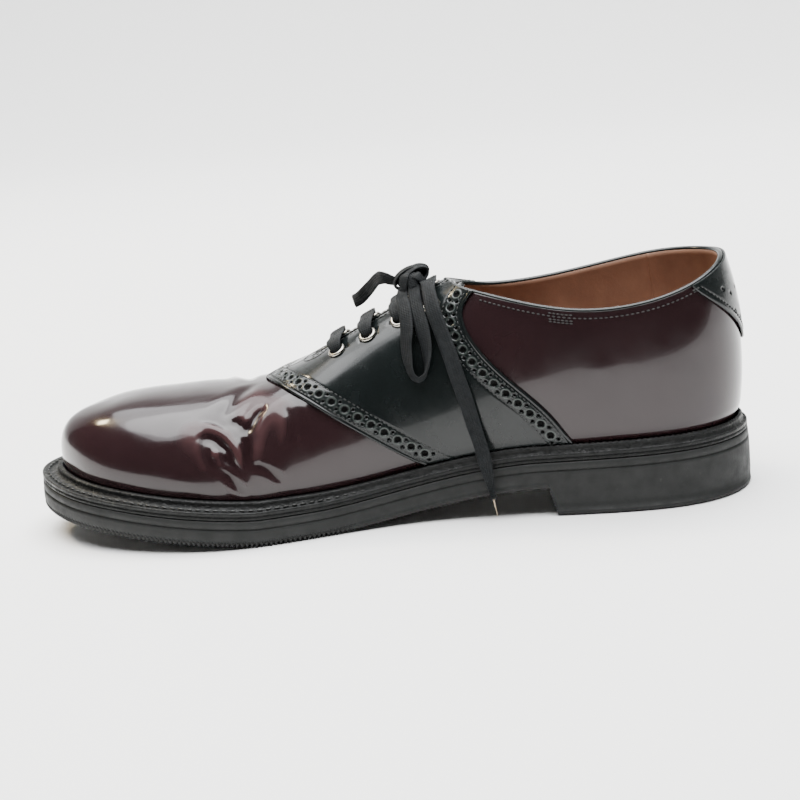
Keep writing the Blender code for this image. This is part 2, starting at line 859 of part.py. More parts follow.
def make_eyelets(frames, collection, finish):
    """Each eyelet is a turned tube through the leather with a flange on top."""
    foot = -WALL
    profile = (
        (EYELET_FLANGE_RADIUS, EYELET_TOP),
        (EYELET_FLANGE_RADIUS, SADDLE_TOP + GAP),
        (EYELET_TUBE_RADIUS, SADDLE_TOP + GAP),
        (EYELET_TUBE_RADIUS, foot),
        (EYELET_HOLE_RADIUS, foot),
        (EYELET_HOLE_RADIUS, EYELET_TOP),
    )
    for (number, outer), matrix in frames.items():
        bm = bmesh.new()
        points = [bm.verts.new((radius, 0.0, height)) for radius, height in profile]
        for i, point in enumerate(points):
            bm.edges.new((point, points[(i + 1) % len(points)]))
        name = f"eyelet_{'outer' if outer else 'inner'}_{number + 1}"
        mesh = bpy.data.meshes.new(name)
        bm.to_mesh(mesh)
        bm.free()
        obj = add_object(name, mesh, collection, finish)
        obj.matrix_world = matrix
        turn = obj.modifiers.new("turn", "SCREW")
        turn.steps = turn.render_steps = EYELET_SEGMENTS
        turn.use_merge_vertices = True
        turn.merge_threshold = 0.00001


def make_lace_bar(number, collection, finish):
    """A flat stretch of lace over the slit, from one eyelet to the other."""
    reach = EYELET_FROM_MIDDLE + EYELET_HOLE_RADIUS
    middle = crest_middle(THROAT_SECTION)
    crossing = []
    for outer, shares in ((False, LACE_BAR_SHARES), (True, reversed(LACE_BAR_SHARES))):
        for share in shares:
            place, up = eyelet_place(number, outer, reach * share)
            crossing.append((offset_point(place, up, LACE_BAR_FOOT), surface_normal(place, up)))
    rings = []
    for point, normal in crossing:
        level = Vector((0.0, point.y - middle, 0.0)).normalized()
        forward = level.cross(normal).normalized()
        if forward.x < 0:
            forward.negate()
        half = forward * LACE_WIDTH / 2
        top = normal * LACE_THICKNESS
        rings.append((point - half, point + half, point + half + top, point - half + top))
    return capped_loft(f"lace_bar_{number + 1}", rings, collection, finish)


def capped_loft(name, rings, collection, finish):
    """A closed solid whose first and last rings are capped flat."""
    mesh = loft(name, rings, close_points=True)
    bm = bmesh.new()
    bm.from_mesh(mesh)
    bpy.data.meshes.remove(mesh)
    bmesh.ops.holes_fill(bm, edges=[edge for edge in bm.edges if edge.is_boundary])
    return add_object(name, finished_mesh(name, bm), collection, finish)


def make_knot(collection, finish):
    """The knot is a low lump on top of the lace between the top two pairs of eyelets."""
    place, up = eyelet_place(KNOT_PLACE, False, 0.0)
    matrix = frame_at(place, up, LACE_BAR_FOOT + LACE_THICKNESS + GAP + KNOT_HEIGHT / 2)
    bm = bmesh.new()
    size = Matrix.Diagonal((KNOT_WIDTH / 2, KNOT_LENGTH / 2, KNOT_HEIGHT / 2, 1.0))
    round_count, up_count = KNOT_SEGMENTS
    bmesh.ops.create_uvsphere(bm, u_segments=round_count, v_segments=up_count, radius=1.0, matrix=matrix @ size)
    mesh = bpy.data.meshes.new("lace_knot")
    bm.to_mesh(mesh)
    bm.free()
    mesh.shade_smooth()
    return add_object("lace_knot", mesh, collection, finish)


def route_curve(route, spacing):
    """Points along the smooth curve through a route's points, about spacing apart."""
    points = [Vector(point) for point in route]
    points = [2 * points[0] - points[1]] + points + [2 * points[-1] - points[-2]]
    smooth = []
    for a, b, c, d in zip(points, points[1:], points[2:], points[3:]):
        steps = max(1, round((c - b).length / spacing))
        for i in range(steps):
            t = i / steps
            smooth.append(0.5 * (
                2 * b + (c - a) * t + (2 * a - 5 * b + 4 * c - d) * t * t + (3 * b - a - 3 * c + d) * t ** 3
            ))
    return smooth + [points[-2]]


def make_cord(name, route, collection, finish):
    curve = bpy.data.curves.new(name, "CURVE")
    curve.dimensions = "3D"
    curve.bevel_depth = CORD_RADIUS
    curve.bevel_resolution = 2
    curve.use_fill_caps = True
    points = route_curve(route, CORD_STEP)
    spline = curve.splines.new("POLY")
    spline.points.add(len(points) - 1)
    for made, point in zip(spline.points, points):
        made.co = (*point, 1.0)
    return add_object(name, curve, collection, finish)


def main():
    clear_scene()
    parts = make_collection("saddle shoe")
    cutters = make_collection("cutters")
    burgundy = material("burgundy leather", (0.085, 0.03, 0.035), 0.25)
    black = material("black leather", (0.02, 0.022, 0.024), 0.25)
    tan = material("tan leather", (0.32, 0.15, 0.06), 0.6)
    rubber = material("dark grey rubber", (0.07, 0.07, 0.068), 0.65)
    edging = material("black welting", (0.01, 0.01, 0.011), 0.5)
    nickel = material("nickel plated brass", (0.6, 0.58, 0.55), 0.25, 1.0)
    cotton = material("black cotton", (0.012, 0.014, 0.015), 0.9)
    frames = eyelet_frames()
    make_outsole(parts, rubber)
    make_welt(parts, edging)
    make_insole(parts, tan)
    upper = make_upper(parts, burgundy)
    cut_eyelet_holes(upper, frames, cutters)
    saddle = make_saddle(parts, black)
    cut_eyelet_holes(saddle, frames, cutters)
    make_heel_tab(parts, black)
    make_tongue(parts, black)
    make_eyelets(frames, parts, nickel)
    for number in range(EYELET_COUNT):
        make_lace_bar(number, parts, cotton)
    make_knot(parts, cotton)
    routes = (
        ("lace_loop_inner", INNER_LOOP_ROUTE),
        ("lace_end_inner", INNER_END_ROUTE),
        ("lace_loop_outer", OUTER_LOOP_ROUTE),
        ("lace_end_outer", OUTER_END_ROUTE),
    )
    for name, route in routes:
        make_cord(name, route, parts, cotton)


main()
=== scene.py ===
"""The looks of the saddle shoe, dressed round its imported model.

Metres, +Z up. The toe faces -Y and the inner side of the foot faces +X. The leather pieces are drawn from the
same sections of the last as the solids, so they lie on them, and a point on the last is given by its place
round the shoe, counted in sections from the back of the heel, and by its share of the way up the wall.
"""

import functools
import math

import bpy
import numpy as np
from mathutils import Matrix, Vector


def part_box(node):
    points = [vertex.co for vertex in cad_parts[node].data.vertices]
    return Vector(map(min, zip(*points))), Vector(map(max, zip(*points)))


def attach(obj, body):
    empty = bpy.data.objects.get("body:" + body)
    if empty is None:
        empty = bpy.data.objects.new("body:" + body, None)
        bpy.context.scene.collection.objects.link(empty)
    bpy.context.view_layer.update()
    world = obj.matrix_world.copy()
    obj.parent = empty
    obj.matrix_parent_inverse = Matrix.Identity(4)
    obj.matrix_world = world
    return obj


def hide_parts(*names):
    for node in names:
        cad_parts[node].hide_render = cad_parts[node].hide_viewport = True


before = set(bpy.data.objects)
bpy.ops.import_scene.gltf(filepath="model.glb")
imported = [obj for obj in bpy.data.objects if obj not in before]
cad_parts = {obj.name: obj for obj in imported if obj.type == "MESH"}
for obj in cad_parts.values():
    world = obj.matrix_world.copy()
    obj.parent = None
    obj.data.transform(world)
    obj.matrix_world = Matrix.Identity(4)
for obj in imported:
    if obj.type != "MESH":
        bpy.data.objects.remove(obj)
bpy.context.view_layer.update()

# The shoe's own sizes, as in the solids.
SOLE_LENGTH = 0.305
BALL_WIDTH = 0.116
SOLE_THICKNESS = 0.0110
HEEL_HEIGHT = 0.0115
HEEL_PITCH = 0.0010
HEEL_LENGTH = 0.085
HEEL_BREAST_SLANT = 0.0030
TOE_SPRING = 0.0125
TOE_SPRING_BEND = 1.15
FLAT_FROM = 0.600
FLAT_TO = 0.665
WELT_WIDTH = 0.0095
WELT_THICKNESS = 0.0035
RIB_HEIGHT = 0.0030
CREST_HEIGHT = 0.0925
BACK_HEIGHT = 0.0975
FACING_GAP = 0.0036
THROAT_ALONG = 0.585
GAP = 0.0003
EYELET_FIRST_ALONG = 0.551
EYELET_LAST_ALONG = 0.418
EYELET_COUNT = 4
EYELET_FROM_MIDDLE = 0.0120
LACE_WIDTH = 0.0062
LACE_THICKNESS = 0.0012

SECTION_NAMES = (
    "along", "inner", "outer", "welt", "crest", "crest_side", "rise", "lean", "crown",
    "topline_inner", "topline_outer",
)
SECTIONS = np.array((
    (0.000, 0.000, 0.000, 0.45, 0.150, 0.000, 0.40, 0.085, 0.88, 1.000, 1.000),
    (0.030, 0.190, 0.190, 0.45, 0.158, 0.000, 0.40, 0.080, 0.93, 0.955, 0.995),
    (0.110, 0.300, 0.300, 0.45, 0.190, 0.000, 0.36, 0.062, 1.05, 0.885, 0.972),
    (0.230, 0.312, 0.325, 0.45, 0.255, 0.000, 0.34, 0.045, 1.12, 0.865, 0.912),
    (0.360, 0.290, 0.362, 0.50, 0.335, 0.010, 0.36, 0.035, 1.00, 0.945, 0.900),
    (0.480, 0.300, 0.425, 0.60, 0.430, 0.020, 0.40, 0.040, 0.82, 1.020, 1.030),
    (0.595, 0.385, 0.500, 0.80, 0.535, 0.025, 0.46, 0.045, 0.70, 1.200, 1.200),
    (0.700, 0.455, 0.545, 0.95, 0.640, 0.025, 0.52, 0.045, 0.66, 1.300, 1.300),
    (0.805, 0.440, 0.480, 1.00, 0.735, 0.022, 0.60, 0.040, 0.70, 1.400, 1.400),
    (0.905, 0.348, 0.378, 1.05, 0.820, 0.020, 0.68, 0.035, 0.72, 1.400, 1.400),
    (0.970, 0.202, 0.232, 1.10, 0.865, 0.018, 0.74, 0.030, 0.72, 1.400, 1.400),
    (1.000, 0.000, 0.000, 1.10, 0.885, 0.016, 0.76, 0.028, 0.72, 1.400, 1.400),
))
CREST = np.array((
    (0.150, 1.450), (0.190, 1.430), (0.255, 1.325), (0.335, 1.150), (0.410, 1.000),
    (0.467, 0.919), (0.513, 0.846), (0.551, 0.784), (0.590, 0.720), (0.626, 0.672),
    (0.665, 0.635), (0.726, 0.626), (0.800, 0.621), (0.854, 0.609), (0.885, 0.592),
))
SADDLE = np.array((
    (0.00, 3.10, 4.70),
    (0.33, 3.42, 5.60),
    (0.67, 4.05, 6.44),
    (0.85, 4.20, 6.87),
    (1.00, 4.08, 7.22),
))
HEEL_TAB_REACH = 1.5
HEEL_TAB_DROP = 0.55
HEEL_TAB_BEND = 0.8
LAST_ROW = len(SECTIONS) - 1
LOOP_ROWS = 2 * LAST_ROW

# The lace's free pieces, as in the solids.
INNER_LOOP_ROUTE = (
    (0.0154, 0.0134, 0.0943), (0.0187, 0.0129, 0.0918), (0.0240, 0.0140, 0.0880), (0.0284, 0.0146, 0.0808),
    (0.0309, 0.0139, 0.0733), (0.0337, 0.0146, 0.0652), (0.0350, 0.0160, 0.0616), (0.0354, 0.0182, 0.0603),
    (0.0353, 0.0204, 0.0616), (0.0347, 0.0218, 0.0650), (0.0322, 0.0222, 0.0727), (0.0283, 0.0206, 0.0822),
    (0.0237, 0.0189, 0.0887), (0.0197, 0.0183, 0.0928), (0.0163, 0.0181, 0.0957),
)
INNER_END_ROUTE = (
    (0.0136, 0.0218, 0.0970), (0.0184, 0.0238, 0.0963), (0.0238, 0.0248, 0.0926), (0.0282, 0.0261, 0.0869),
    (0.0312, 0.0287, 0.0788), (0.0349, 0.0317, 0.0694), (0.0369, 0.0339, 0.0609), (0.0382, 0.0366, 0.0513),
    (0.0386, 0.0391, 0.0400), (0.0393, 0.0410, 0.0325), (0.0410, 0.0424, 0.0255), (0.0414, 0.0436, 0.0175),
    (0.0414, 0.0447, 0.0095),
)
OUTER_LOOP_ROUTE = (
    (-0.0007, 0.0134, 0.0943), (-0.0052, 0.0126, 0.0928), (-0.0105, 0.0122, 0.0896),
    (-0.0177, 0.0126, 0.0847), (-0.0255, 0.0117, 0.0779), (-0.0311, 0.0114, 0.0718),
    (-0.0343, 0.0122, 0.0661), (-0.0356, 0.0135, 0.0632), (-0.0361, 0.0156, 0.0621),
    (-0.0358, 0.0177, 0.0633), (-0.0349, 0.0189, 0.0661), (-0.0319, 0.0190, 0.0718),
    (-0.0278, 0.0193, 0.0776), (-0.0226, 0.0194, 0.0828), (-0.0147, 0.0184, 0.0886),
    (-0.0080, 0.0184, 0.0918), (-0.0046, 0.0188, 0.0934), (-0.0015, 0.0181, 0.0957),
)
OUTER_END_ROUTE = (
    (0.0076, 0.0125, 0.0962), (0.0074, 0.0083, 0.0971), (0.0066, 0.0050, 0.0983), (0.0024, 0.0018, 0.0973),
    (-0.0024, -0.0022, 0.0931), (-0.0070, -0.0072, 0.0882), (-0.0100, -0.0104, 0.0862),
)

# The welt and the leathers, as in the solids.
WELT_SETBACK = 0.0006
WELT_UNDER = 0.0045
RIB_WIDTH = 0.0022
WALL = 0.0020
SADDLE_TOP = 0.0015
HEEL_TAB_TOP = 0.0012
TONGUE_FROM = 4.52
TONGUE_TO = 6.90
TONGUE_REACH = 0.36
TONGUE_GAP = 0.0016
FACING_SEARCH_FROM = 3.0
FACING_SEARCH_STEPS = 400
CORNER_INNER = 4.5761
CORNER_OUTER = 4.6417
SLIT_MIDDLE = 0.0074

# What only the looks have, from here on: the leathers.
LEATHER_THICKNESS = 0.0011
LINING_THICKNESS = 0.0008
CREST_BLEND = 0.96
TUCK_DEPTH = 0.0009
TUCK_HEIGHT = 0.0052
TUCK_SECTIONS = (0.0, 4.6, 6.4, 11.0)
TUCK_SHARES = (1.0, 1.0, 0.35, 0.25)
EASE_BEFORE = 0.9
EASE_AFTER = 0.5
EASED_UP_TO = 0.80
JOIN_DISTANCE = 0.00001
RIPPLE_WAVES = 9
PUNCH_RADIUS = 0.0027
PUNCH_DEPTH = 0.006
TONGUE_THICKNESS = 0.0020
COLLAR_ROLL = (0.00115, 0.00095)
# The leather's rows are close where it creases. Its foot and its back seam have rows of their own.
FOOT_SHARE = 0.1
BACK_SEAM_TO = 0.1
QUARTER_STEP = 0.06
CREASES_FROM = 5.9
CREASE_STEP = 0.023
CREASES_TO = 8.8
BACK_SEAM_FROM = 0.13
BACK_SEAM_WIDTH = 0.0006
BACK_SEAM_DEPTH = 0.0004
LINING_SEAM = 20.0
LINING_LAP = 0.1
LINING_SLACK = 0.0003
LINING_GAP = 0.0001
LAP_STEP = 0.01
LAP_FADE = 0.08
FACING_FADE = 0.12
FACING_TURN_IN = 0.05
# The saddle's bands: their holes, the rubbed rims (height, strength) and the grooves along the edges.
LEAST_AWAY = 0.4
SADDLE_THICKNESS = 0.00125
SADDLE_TOP_SHARE = 0.985
SADDLE_EDGE_INSETS = (0.0, 0.00012, 0.0003, 0.00055, 0.00085, 0.00115, 0.0014, 0.0016, 0.0018)
SADDLE_BAND_INSETS = (0.0021, 0.0103, 0.00034)
BAND_MIDDLE = 0.0054
STITCH_INSETS = (0.0023, 0.0088)
HOLE_PITCH = 0.0063
HOLES_FROM = 0.62
LARGE_HOLE = 0.00135
SMALL_HOLE = 0.00065
PAIR_OFFSET = 0.0017
HOLE_DEPTH = 0.0011
HOLE_SOFTNESS = 0.00015
HOLE_SLOPE = 0.0004
RIM_OFFSET = 0.0005
RIM_WIDTH = 0.0004
LARGE_RIM = (0.00013, 0.6)
SMALL_RIM = (0.00004, 0.2)
EDGE_ROLL = 0.0008
EDGE_GROOVE = 0.0015
GROOVE_WIDTH = 0.0003
GROOVE_DEPTH = 0.00035
SEAM_WIDTH = 0.0005
SEAM_DEPTH = 0.00012
HEEL_TAB_THICKNESS = 0.0009
HEEL_TAB_ROLL = 0.0007
HEEL_TAB_SEAM = 0.0024
HEEL_SEAM_DEPTH = 0.0002
HEEL_TAB_HOLE = 0.00095
HEEL_HOLE_SLOPE = 0.0005
HEEL_HOLE_DEPTH = 0.0007
HEEL_TAB_HOLES = ((0.30, 0.62), (0.55, 0.68), (0.62, 0.80), (0.30, 0.80), (0.0, 0.72), (0.85, 0.86))
# The stitches: sizes are length, width and height. Horseshoe and tacks are rows of stitches.
STITCH_SIZE = (0.0015, 0.00062, 0.00050)
STITCH_PITCH = 0.0021
STITCH_LIFT = 0.00008
STITCH_SUNK = 0.00005
STITCHED_UPS = (0.985, 0.015)
TOPLINE_SECTIONS = (1.45, 4.02)
TOPLINE_DROP = 0.0030
FACING_ROW = 0.0022
HEEL_ROW_INSET = 0.00336
HEEL_ROW_LEAST = 0.002
HORSESHOE = (0.0072, 0.0062)
HORSESHOE_TURN = 0.80
BAR_TACK = (-0.0012, -0.0004, 0.0004, 0.0012)
BAR_TACK_REACH = 0.0024
THROAT_SECTIONS = (5.4, 7.2)
THROAT_UPS = (0.62, 1.0)
TOPLINE_TACK = (3.02, 3.26)
TACK_DROPS = (0.0018, 0.0042, 0.0052)
TACK_PITCH = 0.00168
WELT_STITCH_SIZE = (0.0026, 0.0010, 0.0009)
WELT_STITCH_INSET = 0.0034
WELT_STITCH_PITCH = 0.0036
WELT_STITCH_END = 0.002
WELT_STITCH_AHEAD = 0.001
# The welt's outline. A row stands at a share of the way from its outer side to the rib, or at a named
# place, with what is added inwards, its height, its share of the rib's height and how deep it is wheeled.
WELT_STEP = 0.0008
WELT_WHEEL_STEP = 3
RIB_BULGE = 0.0003
LEAST_FLAT = 0.0016
WELT_ROWS = (
    (0, 0.0004, 0.0, 0.0, 0.0), (0, 0.0, 0.0004, 0.0, 0.0), (0, 0.0, 0.0011, 0.0, 0.0),
    (0, 0.00045, 0.0014, 0.0, 0.0), (0, 0.00045, 0.0017, 0.0, 0.0), (0, 0.0, 0.0020, 0.0, 0.0),
    (0, 0.0, 0.0029, 0.0, 0.0), (0, 0.0002, 0.0033, 0.0, 0.0), (0, 0.0006, 0.0035, 0.0, 0.00025),
    (0.30, 0.0, 0.0035, 0.0, 0.00035), (0.52, 0.0, 0.0030, 0.0, 0.0002), (0.62, 0.0, 0.0029, 0.0, 0.0),
    (0.74, 0.0, 0.0032, 0.0, 0.0), ("flat", 0.0, 0.0034, 0.0, 0.0), ("flat", 0.0001, 0.0035, 0.35, 0.0),
    ("flat", 0.0004, 0.0035, 0.48, 0.0), ("flat", 0.0002, 0.0035, 0.62, 0.0002),
    ("flat", 0.0004, 0.0035, 0.84, 0.0003), ("flat", 0.0009, 0.0035, 0.98, 0.0004),
    ("flat", 0.0015, 0.0035, 1.0, 0.0003), ("rib", -0.0003, 0.0035, 0.97, 0.0),
    ("rib", 0.0, 0.0035, 0.9, 0.0), ("between", 0.0, 0.0035, 0.4, 0.0), ("foot", 0.0, 0.0035, 0.0, 0.0),
    ("under", 0.0, 0.0035, 0.0, 0.0), ("under", 0.0, 0.0, 0.0, 0.0), (0, 0.0004, 0.0, 0.0, 0.0),
)
# The sole's outline. A row has its way in from the edge, what a tooth adds to that, where its height is
# taken from, that height or share, and whether it lies in the recessed line under the ledge, which is
# darkened with painted shade.
SOLE_STEP = 0.0005
SOLE_FINE_FROM = 0.50
SOLE_SIDE_FROM = 0.0022
SOLE_SIDE_TO = 0.0048
TEETH_FROM = 0.53
TEETH_FADE = 0.05
TOOTH_PITCH = 0.0020
TOE_LIP = 0.0006
SOLE_ROWS = (
    (0.0080, 0.0, "bottom", 0.0, 0), (0.0030, 0.0, "bottom", 0.0, 0),
    (0.0011, 0.0011, "bottom", 0.00001, 0), (0.0003, 0.0009, "bottom", 0.0005, 0),
    (0.0, 0.0006, "bottom", 0.0012, 0), (0.0001, 0.0004, "bottom", 0.0022, 0),
    (0.0002, 0.0, "side", 0.0, 0), (0.0, 0.0, "side", 0.25, 0), (0.0, 0.0, "side", 0.5, 0),
    (0.0, 0.0, "side", 0.75, 0), (0.0001, 0.0, "side", 1.0, 0), (0.0001, 0.0, "top", 0.0040, 0),
    (0.0007, 0.0, "top", 0.0037, 1), (0.0008, 0.0, "top", 0.0033, 1), (0.0003, 0.0, "top", 0.0030, 0),
    (0.0003, 0.0, "top", 0.0016, 0), (0.0004, 0.0, "top", 0.0007, 0), (0.0007, 0.0, "top", 0.0, 0),
    (0.0120, 0.0, "top", 0.0, 0),
)
# The eyelets' outline as (from the middle, over the upper), then the laces.
EYELET_PROFILE = (
    (0.00385, 0.00150), (0.00385, 0.00195), (0.00360, 0.00240), (0.00320, 0.00262), (0.00275, 0.00258),
    (0.00235, 0.00225), (0.00210, 0.00175), (0.00200, 0.00100), (0.00200, -0.00200), (0.00235, -0.00200),
    (0.00245, 0.00080), (0.00260, 0.00150),
)
LACE_POINTS = 33
LACE_RIBS = 6
LACE_RIB_DEPTH = 0.16
WEFT_PITCH = 0.0007
LACE_STEP = 0.0012
LACE_NARROWEST = 0.45
LACE_BUNCHING = 0.6
LACE_TIP = 0.0004
LACE_AXIS_HEIGHT = 0.045
BAR_STEP = 0.0009
# From the slit's middle, height over the upper and width of a crossing, from the hole inwards.
BAR_MARKS = (
    (0.0122, -0.0012, 0.0038), (0.0121, 0.0014, 0.0044), (0.0111, 0.0035, 0.0062), (0.0090, 0.0044, 0.0074),
    (0.0060, 0.0043, 0.0076), (0.0025, 0.0038, 0.0074),
)
# A knot's wrap: its turn, its reach ahead and out, its width and its shift to the side.
KNOT_WRAPS = (
    (10.0, 0.0070, 0.0040, 0.0066, 0.0002),
    (8.0, 0.0052, 0.0028, 0.0074, -0.0004),
    (-28.0, 0.0056, 0.0030, 0.0058, -0.0046),
    (34.0, 0.0056, 0.0030, 0.0058, 0.0046),
)
KNOT_OUT = (0.01, -0.38, 0.92)
KNOT_STEP = 0.0008
KNOT_CORE = (0.0066, 0.0060, 0.0031)
KNOT_TUCK_FROM = (0.0030, 0.0, 0.0)
KNOT_TUCK_OVER = (0.0072, 0.0, 0.0022)
KNOT_TUCK_INTO = 0.3
KNOT_TUCK_WIDTHS = (0.0036, 0.0048, 0.0040)
KNOT_TUCK_TURNS = (20, 10)
TIP_THREAD = (
    (0.0414, 0.0447, 0.0100), (0.0416, 0.0450, 0.0070), (0.0413, 0.0455, 0.0040), (0.0415, 0.0457, 0.0022),
)
TIP_THREAD_STEP = 0.0008
TIP_THREAD_RADIUS = 0.00035
# Each free lace: its node, its route, how it is turned and how wide it is along that, and its facts.
LOOP_TURNS = (10, 15, 25, 50, 90, 130, 155, 165, 175)
LOOP_WIDTHS = (0.0048, 0.0062, 0.0062, 0.0062, 0.0048)
FREE_LACES = (
    (
        "lace_loop_inner", INNER_LOOP_ROUTE, LOOP_TURNS, LOOP_WIDTHS,
        {"length": 0.086, "diameter": 0.0062, "far_end": "object", "lay": "hanging"},
    ),
    (
        "lace_end_inner", INNER_END_ROUTE, (-10, 10, 25, 10, -5, 5, 10, 0, 0),
        (0.0048, 0.0062, 0.0062, 0.0062, 0.0062, 0.0060, 0.0020),
        {"length": 0.101, "diameter": 0.0062, "far_end": "bare", "lay": "hanging"},
    ),
    (
        "lace_loop_outer", OUTER_LOOP_ROUTE, LOOP_TURNS, LOOP_WIDTHS,
        {"length": 0.103, "diameter": 0.0062, "far_end": "object", "lay": "hanging"},
    ),
    (
        "lace_end_outer", OUTER_END_ROUTE, (40, 70, 95, 80, 60, 75),
        (0.0046, 0.0056, 0.0058, 0.0056, 0.0058),
        {"length": 0.034, "diameter": 0.0050, "far_end": "bare", "lay": "loose"},
    ),
)
# Creases: whether on the outer side, height, width, and their points as (section, share of the way up).
FOLDS = (
    (
        False, 0.0011, 0.0016,
        ((7.60, 0.53), (7.51, 0.53), (7.19, 0.45), (7.01, 0.35), (6.91, 0.27), (6.80, 0.19)),
    ),
    (False, -0.0012, 0.0018, ((7.58, 0.44), (7.35, 0.42), (7.20, 0.38), (7.05, 0.29), (6.93, 0.20))),
    (False, 0.0006, 0.0010, ((7.34, 0.30), (7.18, 0.33), (7.05, 0.29), (6.98, 0.24))),
    (False, -0.0008, 0.0014, ((7.50, 0.42), (7.40, 0.34), (7.30, 0.26), (7.21, 0.20))),
    (False, -0.0013, 0.0015, ((7.22, 0.58), (7.08, 0.54), (6.97, 0.50), (6.89, 0.44))),
    (False, -0.0013, 0.0015, ((6.89, 0.44), (6.85, 0.51), (6.81, 0.57), (6.72, 0.62))),
    (False, -0.0007, 0.0026, ((7.40, 0.57), (7.39, 0.70), (7.35, 0.80), (7.32, 0.95))),
    (False, 0.0006, 0.0018, ((6.72, 0.58), (6.68, 0.47), (6.65, 0.35), (6.64, 0.25))),
    (False, -0.0006, 0.0014, ((6.51, 0.60), (6.31, 0.48), (6.23, 0.36), (6.28, 0.27))),
    (False, -0.0005, 0.0014, ((6.29, 0.55), (6.11, 0.40), (6.02, 0.30))),
    (False, -0.0006, 0.0013, ((7.18, 0.22), (7.02, 0.15), (6.88, 0.07), (6.76, 0.02))),
    (False, -0.0005, 0.0013, ((6.78, 0.23), (6.55, 0.19), (6.38, 0.12), (6.28, 0.07))),
    (False, -0.0008, 0.0013, ((6.89, 0.45), (6.82, 0.32), (6.81, 0.20))),
    (True, -0.0012, 0.0024, ((7.42, 0.96), (7.38, 0.80), (7.28, 0.60), (7.10, 0.42), (6.95, 0.26))),
    (True, 0.0008, 0.0022, ((7.62, 0.80), (7.52, 0.62), (7.38, 0.46), (7.20, 0.30))),
    (True, -0.0008, 0.0018, ((6.98, 0.86), (6.86, 0.70), (6.72, 0.54), (6.66, 0.38), (6.70, 0.24))),
    (True, -0.0006, 0.0015, ((6.60, 0.66), (6.45, 0.50), (6.34, 0.36), (6.30, 0.22))),
    (True, -0.0005, 0.0015, ((7.60, 0.36), (7.40, 0.22), (7.22, 0.10))),
)
FOLD_SHARE = 0.80
FOLD_WIDENING = 1.3
FOLD_STEP = 0.05
FOLD_END_SHARE = 0.22
FOLD_END_POWER = 0.7
FOLD_TIP_WIDTH = 0.6
FOLD_BANK_HEIGHT = 0.35
FOLD_BANK_OFFSET = 1.9
FOLDS_START = 0.05
FULL_FOLD = 0.0007
VAMP_MIDDLE = -0.052
VAMP_REACH = 0.026
# Waves in the leathers: height, length and the number that the random draw starts from.
VAMP_WAVES = (0.00028, 0.016, 3)
ALL_OVER_WAVES = ((0.00026, 0.050, 5), (0.00006, 0.018, 6))
SADDLE_WAVES = (0.0001, 0.03, 8)
# Mounds between the creases: side, section, share of the way up, height and width.
MOUNDS = (
    (False, 6.61, 0.58, 0.0013, 0.0060),
    (False, 7.62, 0.47, 0.0009, 0.0060),
    (False, 7.10, 0.72, 0.0008, 0.0080),
    (True, 6.80, 0.60, 0.0008, 0.0070),
)
# The camera and the studio.
CAMERA_PLACE = (0.7151, 0.0791, 0.2245)
CAMERA_AIM = (0.0, 0.0061, 0.0435)
CAMERA_ROLL = -5.6
CAMERA_LENS = 77.6
CAMERA_SENSOR = 36.0
FLOOR_BELOW = 0.0002
FLOOR_NEAR = 0.325
FLOOR_WIDE = 4.0
SWEEP_START = -1.6
SWEEP_RADIUS = 0.7
SWEEP_TOP = 2.6
SUN_STRENGTH = 5.2
SUN_SPREAD = 60.0
WORLD_COLOUR = "#6e6c6a"
WORLD_STRENGTH = 0.40
# Each lamp: its place, what it points at, its size, its power and its colour.
LAMPS = (
    ("soft_box_above", (-0.20, 0.0, 2.00), (0.0, 0.0, 0.0), (2.6, 2.6), 135.0, "#fbfdff"),
    ("small_warm_lamp", (-0.42, -0.90, 1.00), (0.0, -0.08, 0.05), (0.16, 0.16), 7.0, "#ffe9c0"),
)

# The last, evaluated for whole arrays of places at once.


def natural_bends(places, values):
    """The second derivatives of the smooth curve through values at unevenly spaced places."""
    gaps = np.diff(places)
    slopes = np.diff(values) / gaps
    matrix = np.eye(len(places))
    right = np.zeros(len(places))
    for i in range(1, len(places) - 1):
        matrix[i, i - 1 : i + 2] = gaps[i - 1], 2 * (gaps[i - 1] + gaps[i]), gaps[i]
        right[i] = 6 * (slopes[i] - slopes[i - 1])
    return np.linalg.solve(matrix, right)


def smooth_value(places, values, bends, at):
    i = np.clip(np.searchsorted(places, at) - 1, 0, len(places) - 2)
    gap = places[i + 1] - places[i]
    a = (places[i + 1] - at) / gap
    b = 1 - a
    bent = ((a**3 - a) * bends[i] + (b**3 - b) * bends[i + 1]) * gap * gap / 6
    return a * values[i] + b * values[i + 1] + bent


def loop_column(name):
    """A table column carried round the whole shoe: up the inner side and back down the outer one."""
    column = {key: SECTIONS[:, i] for i, key in enumerate(SECTION_NAMES)}
    there = column["inner" if name == "side" else "topline_inner" if name == "topline" else name]
    back = -column["outer"] if name == "side" else column["topline_outer" if name == "topline" else name]
    values = np.concatenate([there, back[-2:0:-1]])
    size = len(values)
    matrix = 4 * np.eye(size) + np.roll(np.eye(size), 1, 0) + np.roll(np.eye(size), -1, 0)
    return values, np.linalg.solve(matrix, 6 * (np.roll(values, 1) - 2 * values + np.roll(values, -1)))


LOOPS = {
    name: loop_column(name)
    for name in ("along", "side", "welt", "crest", "crest_side", "rise", "lean", "crown", "topline")
}
CREST_BENDS = natural_bends(CREST[:, 0], CREST[:, 1])
BACK_BENDS = natural_bends(SADDLE[:, 0], SADDLE[:, 1])
FRONT_BENDS = natural_bends(SADDLE[:, 0], SADDLE[:, 2])


def around(name, place):
    values, bends = LOOPS[name]
    place = np.asarray(place, float) % LOOP_ROWS
    i = np.minimum(place.astype(int), LOOP_ROWS - 1)
    b = place - i
    a = 1 - b
    j = (i + 1) % LOOP_ROWS
    return a * values[i] + b * values[j] + ((a**3 - a) * bends[i] + (b**3 - b) * bends[j]) / 6


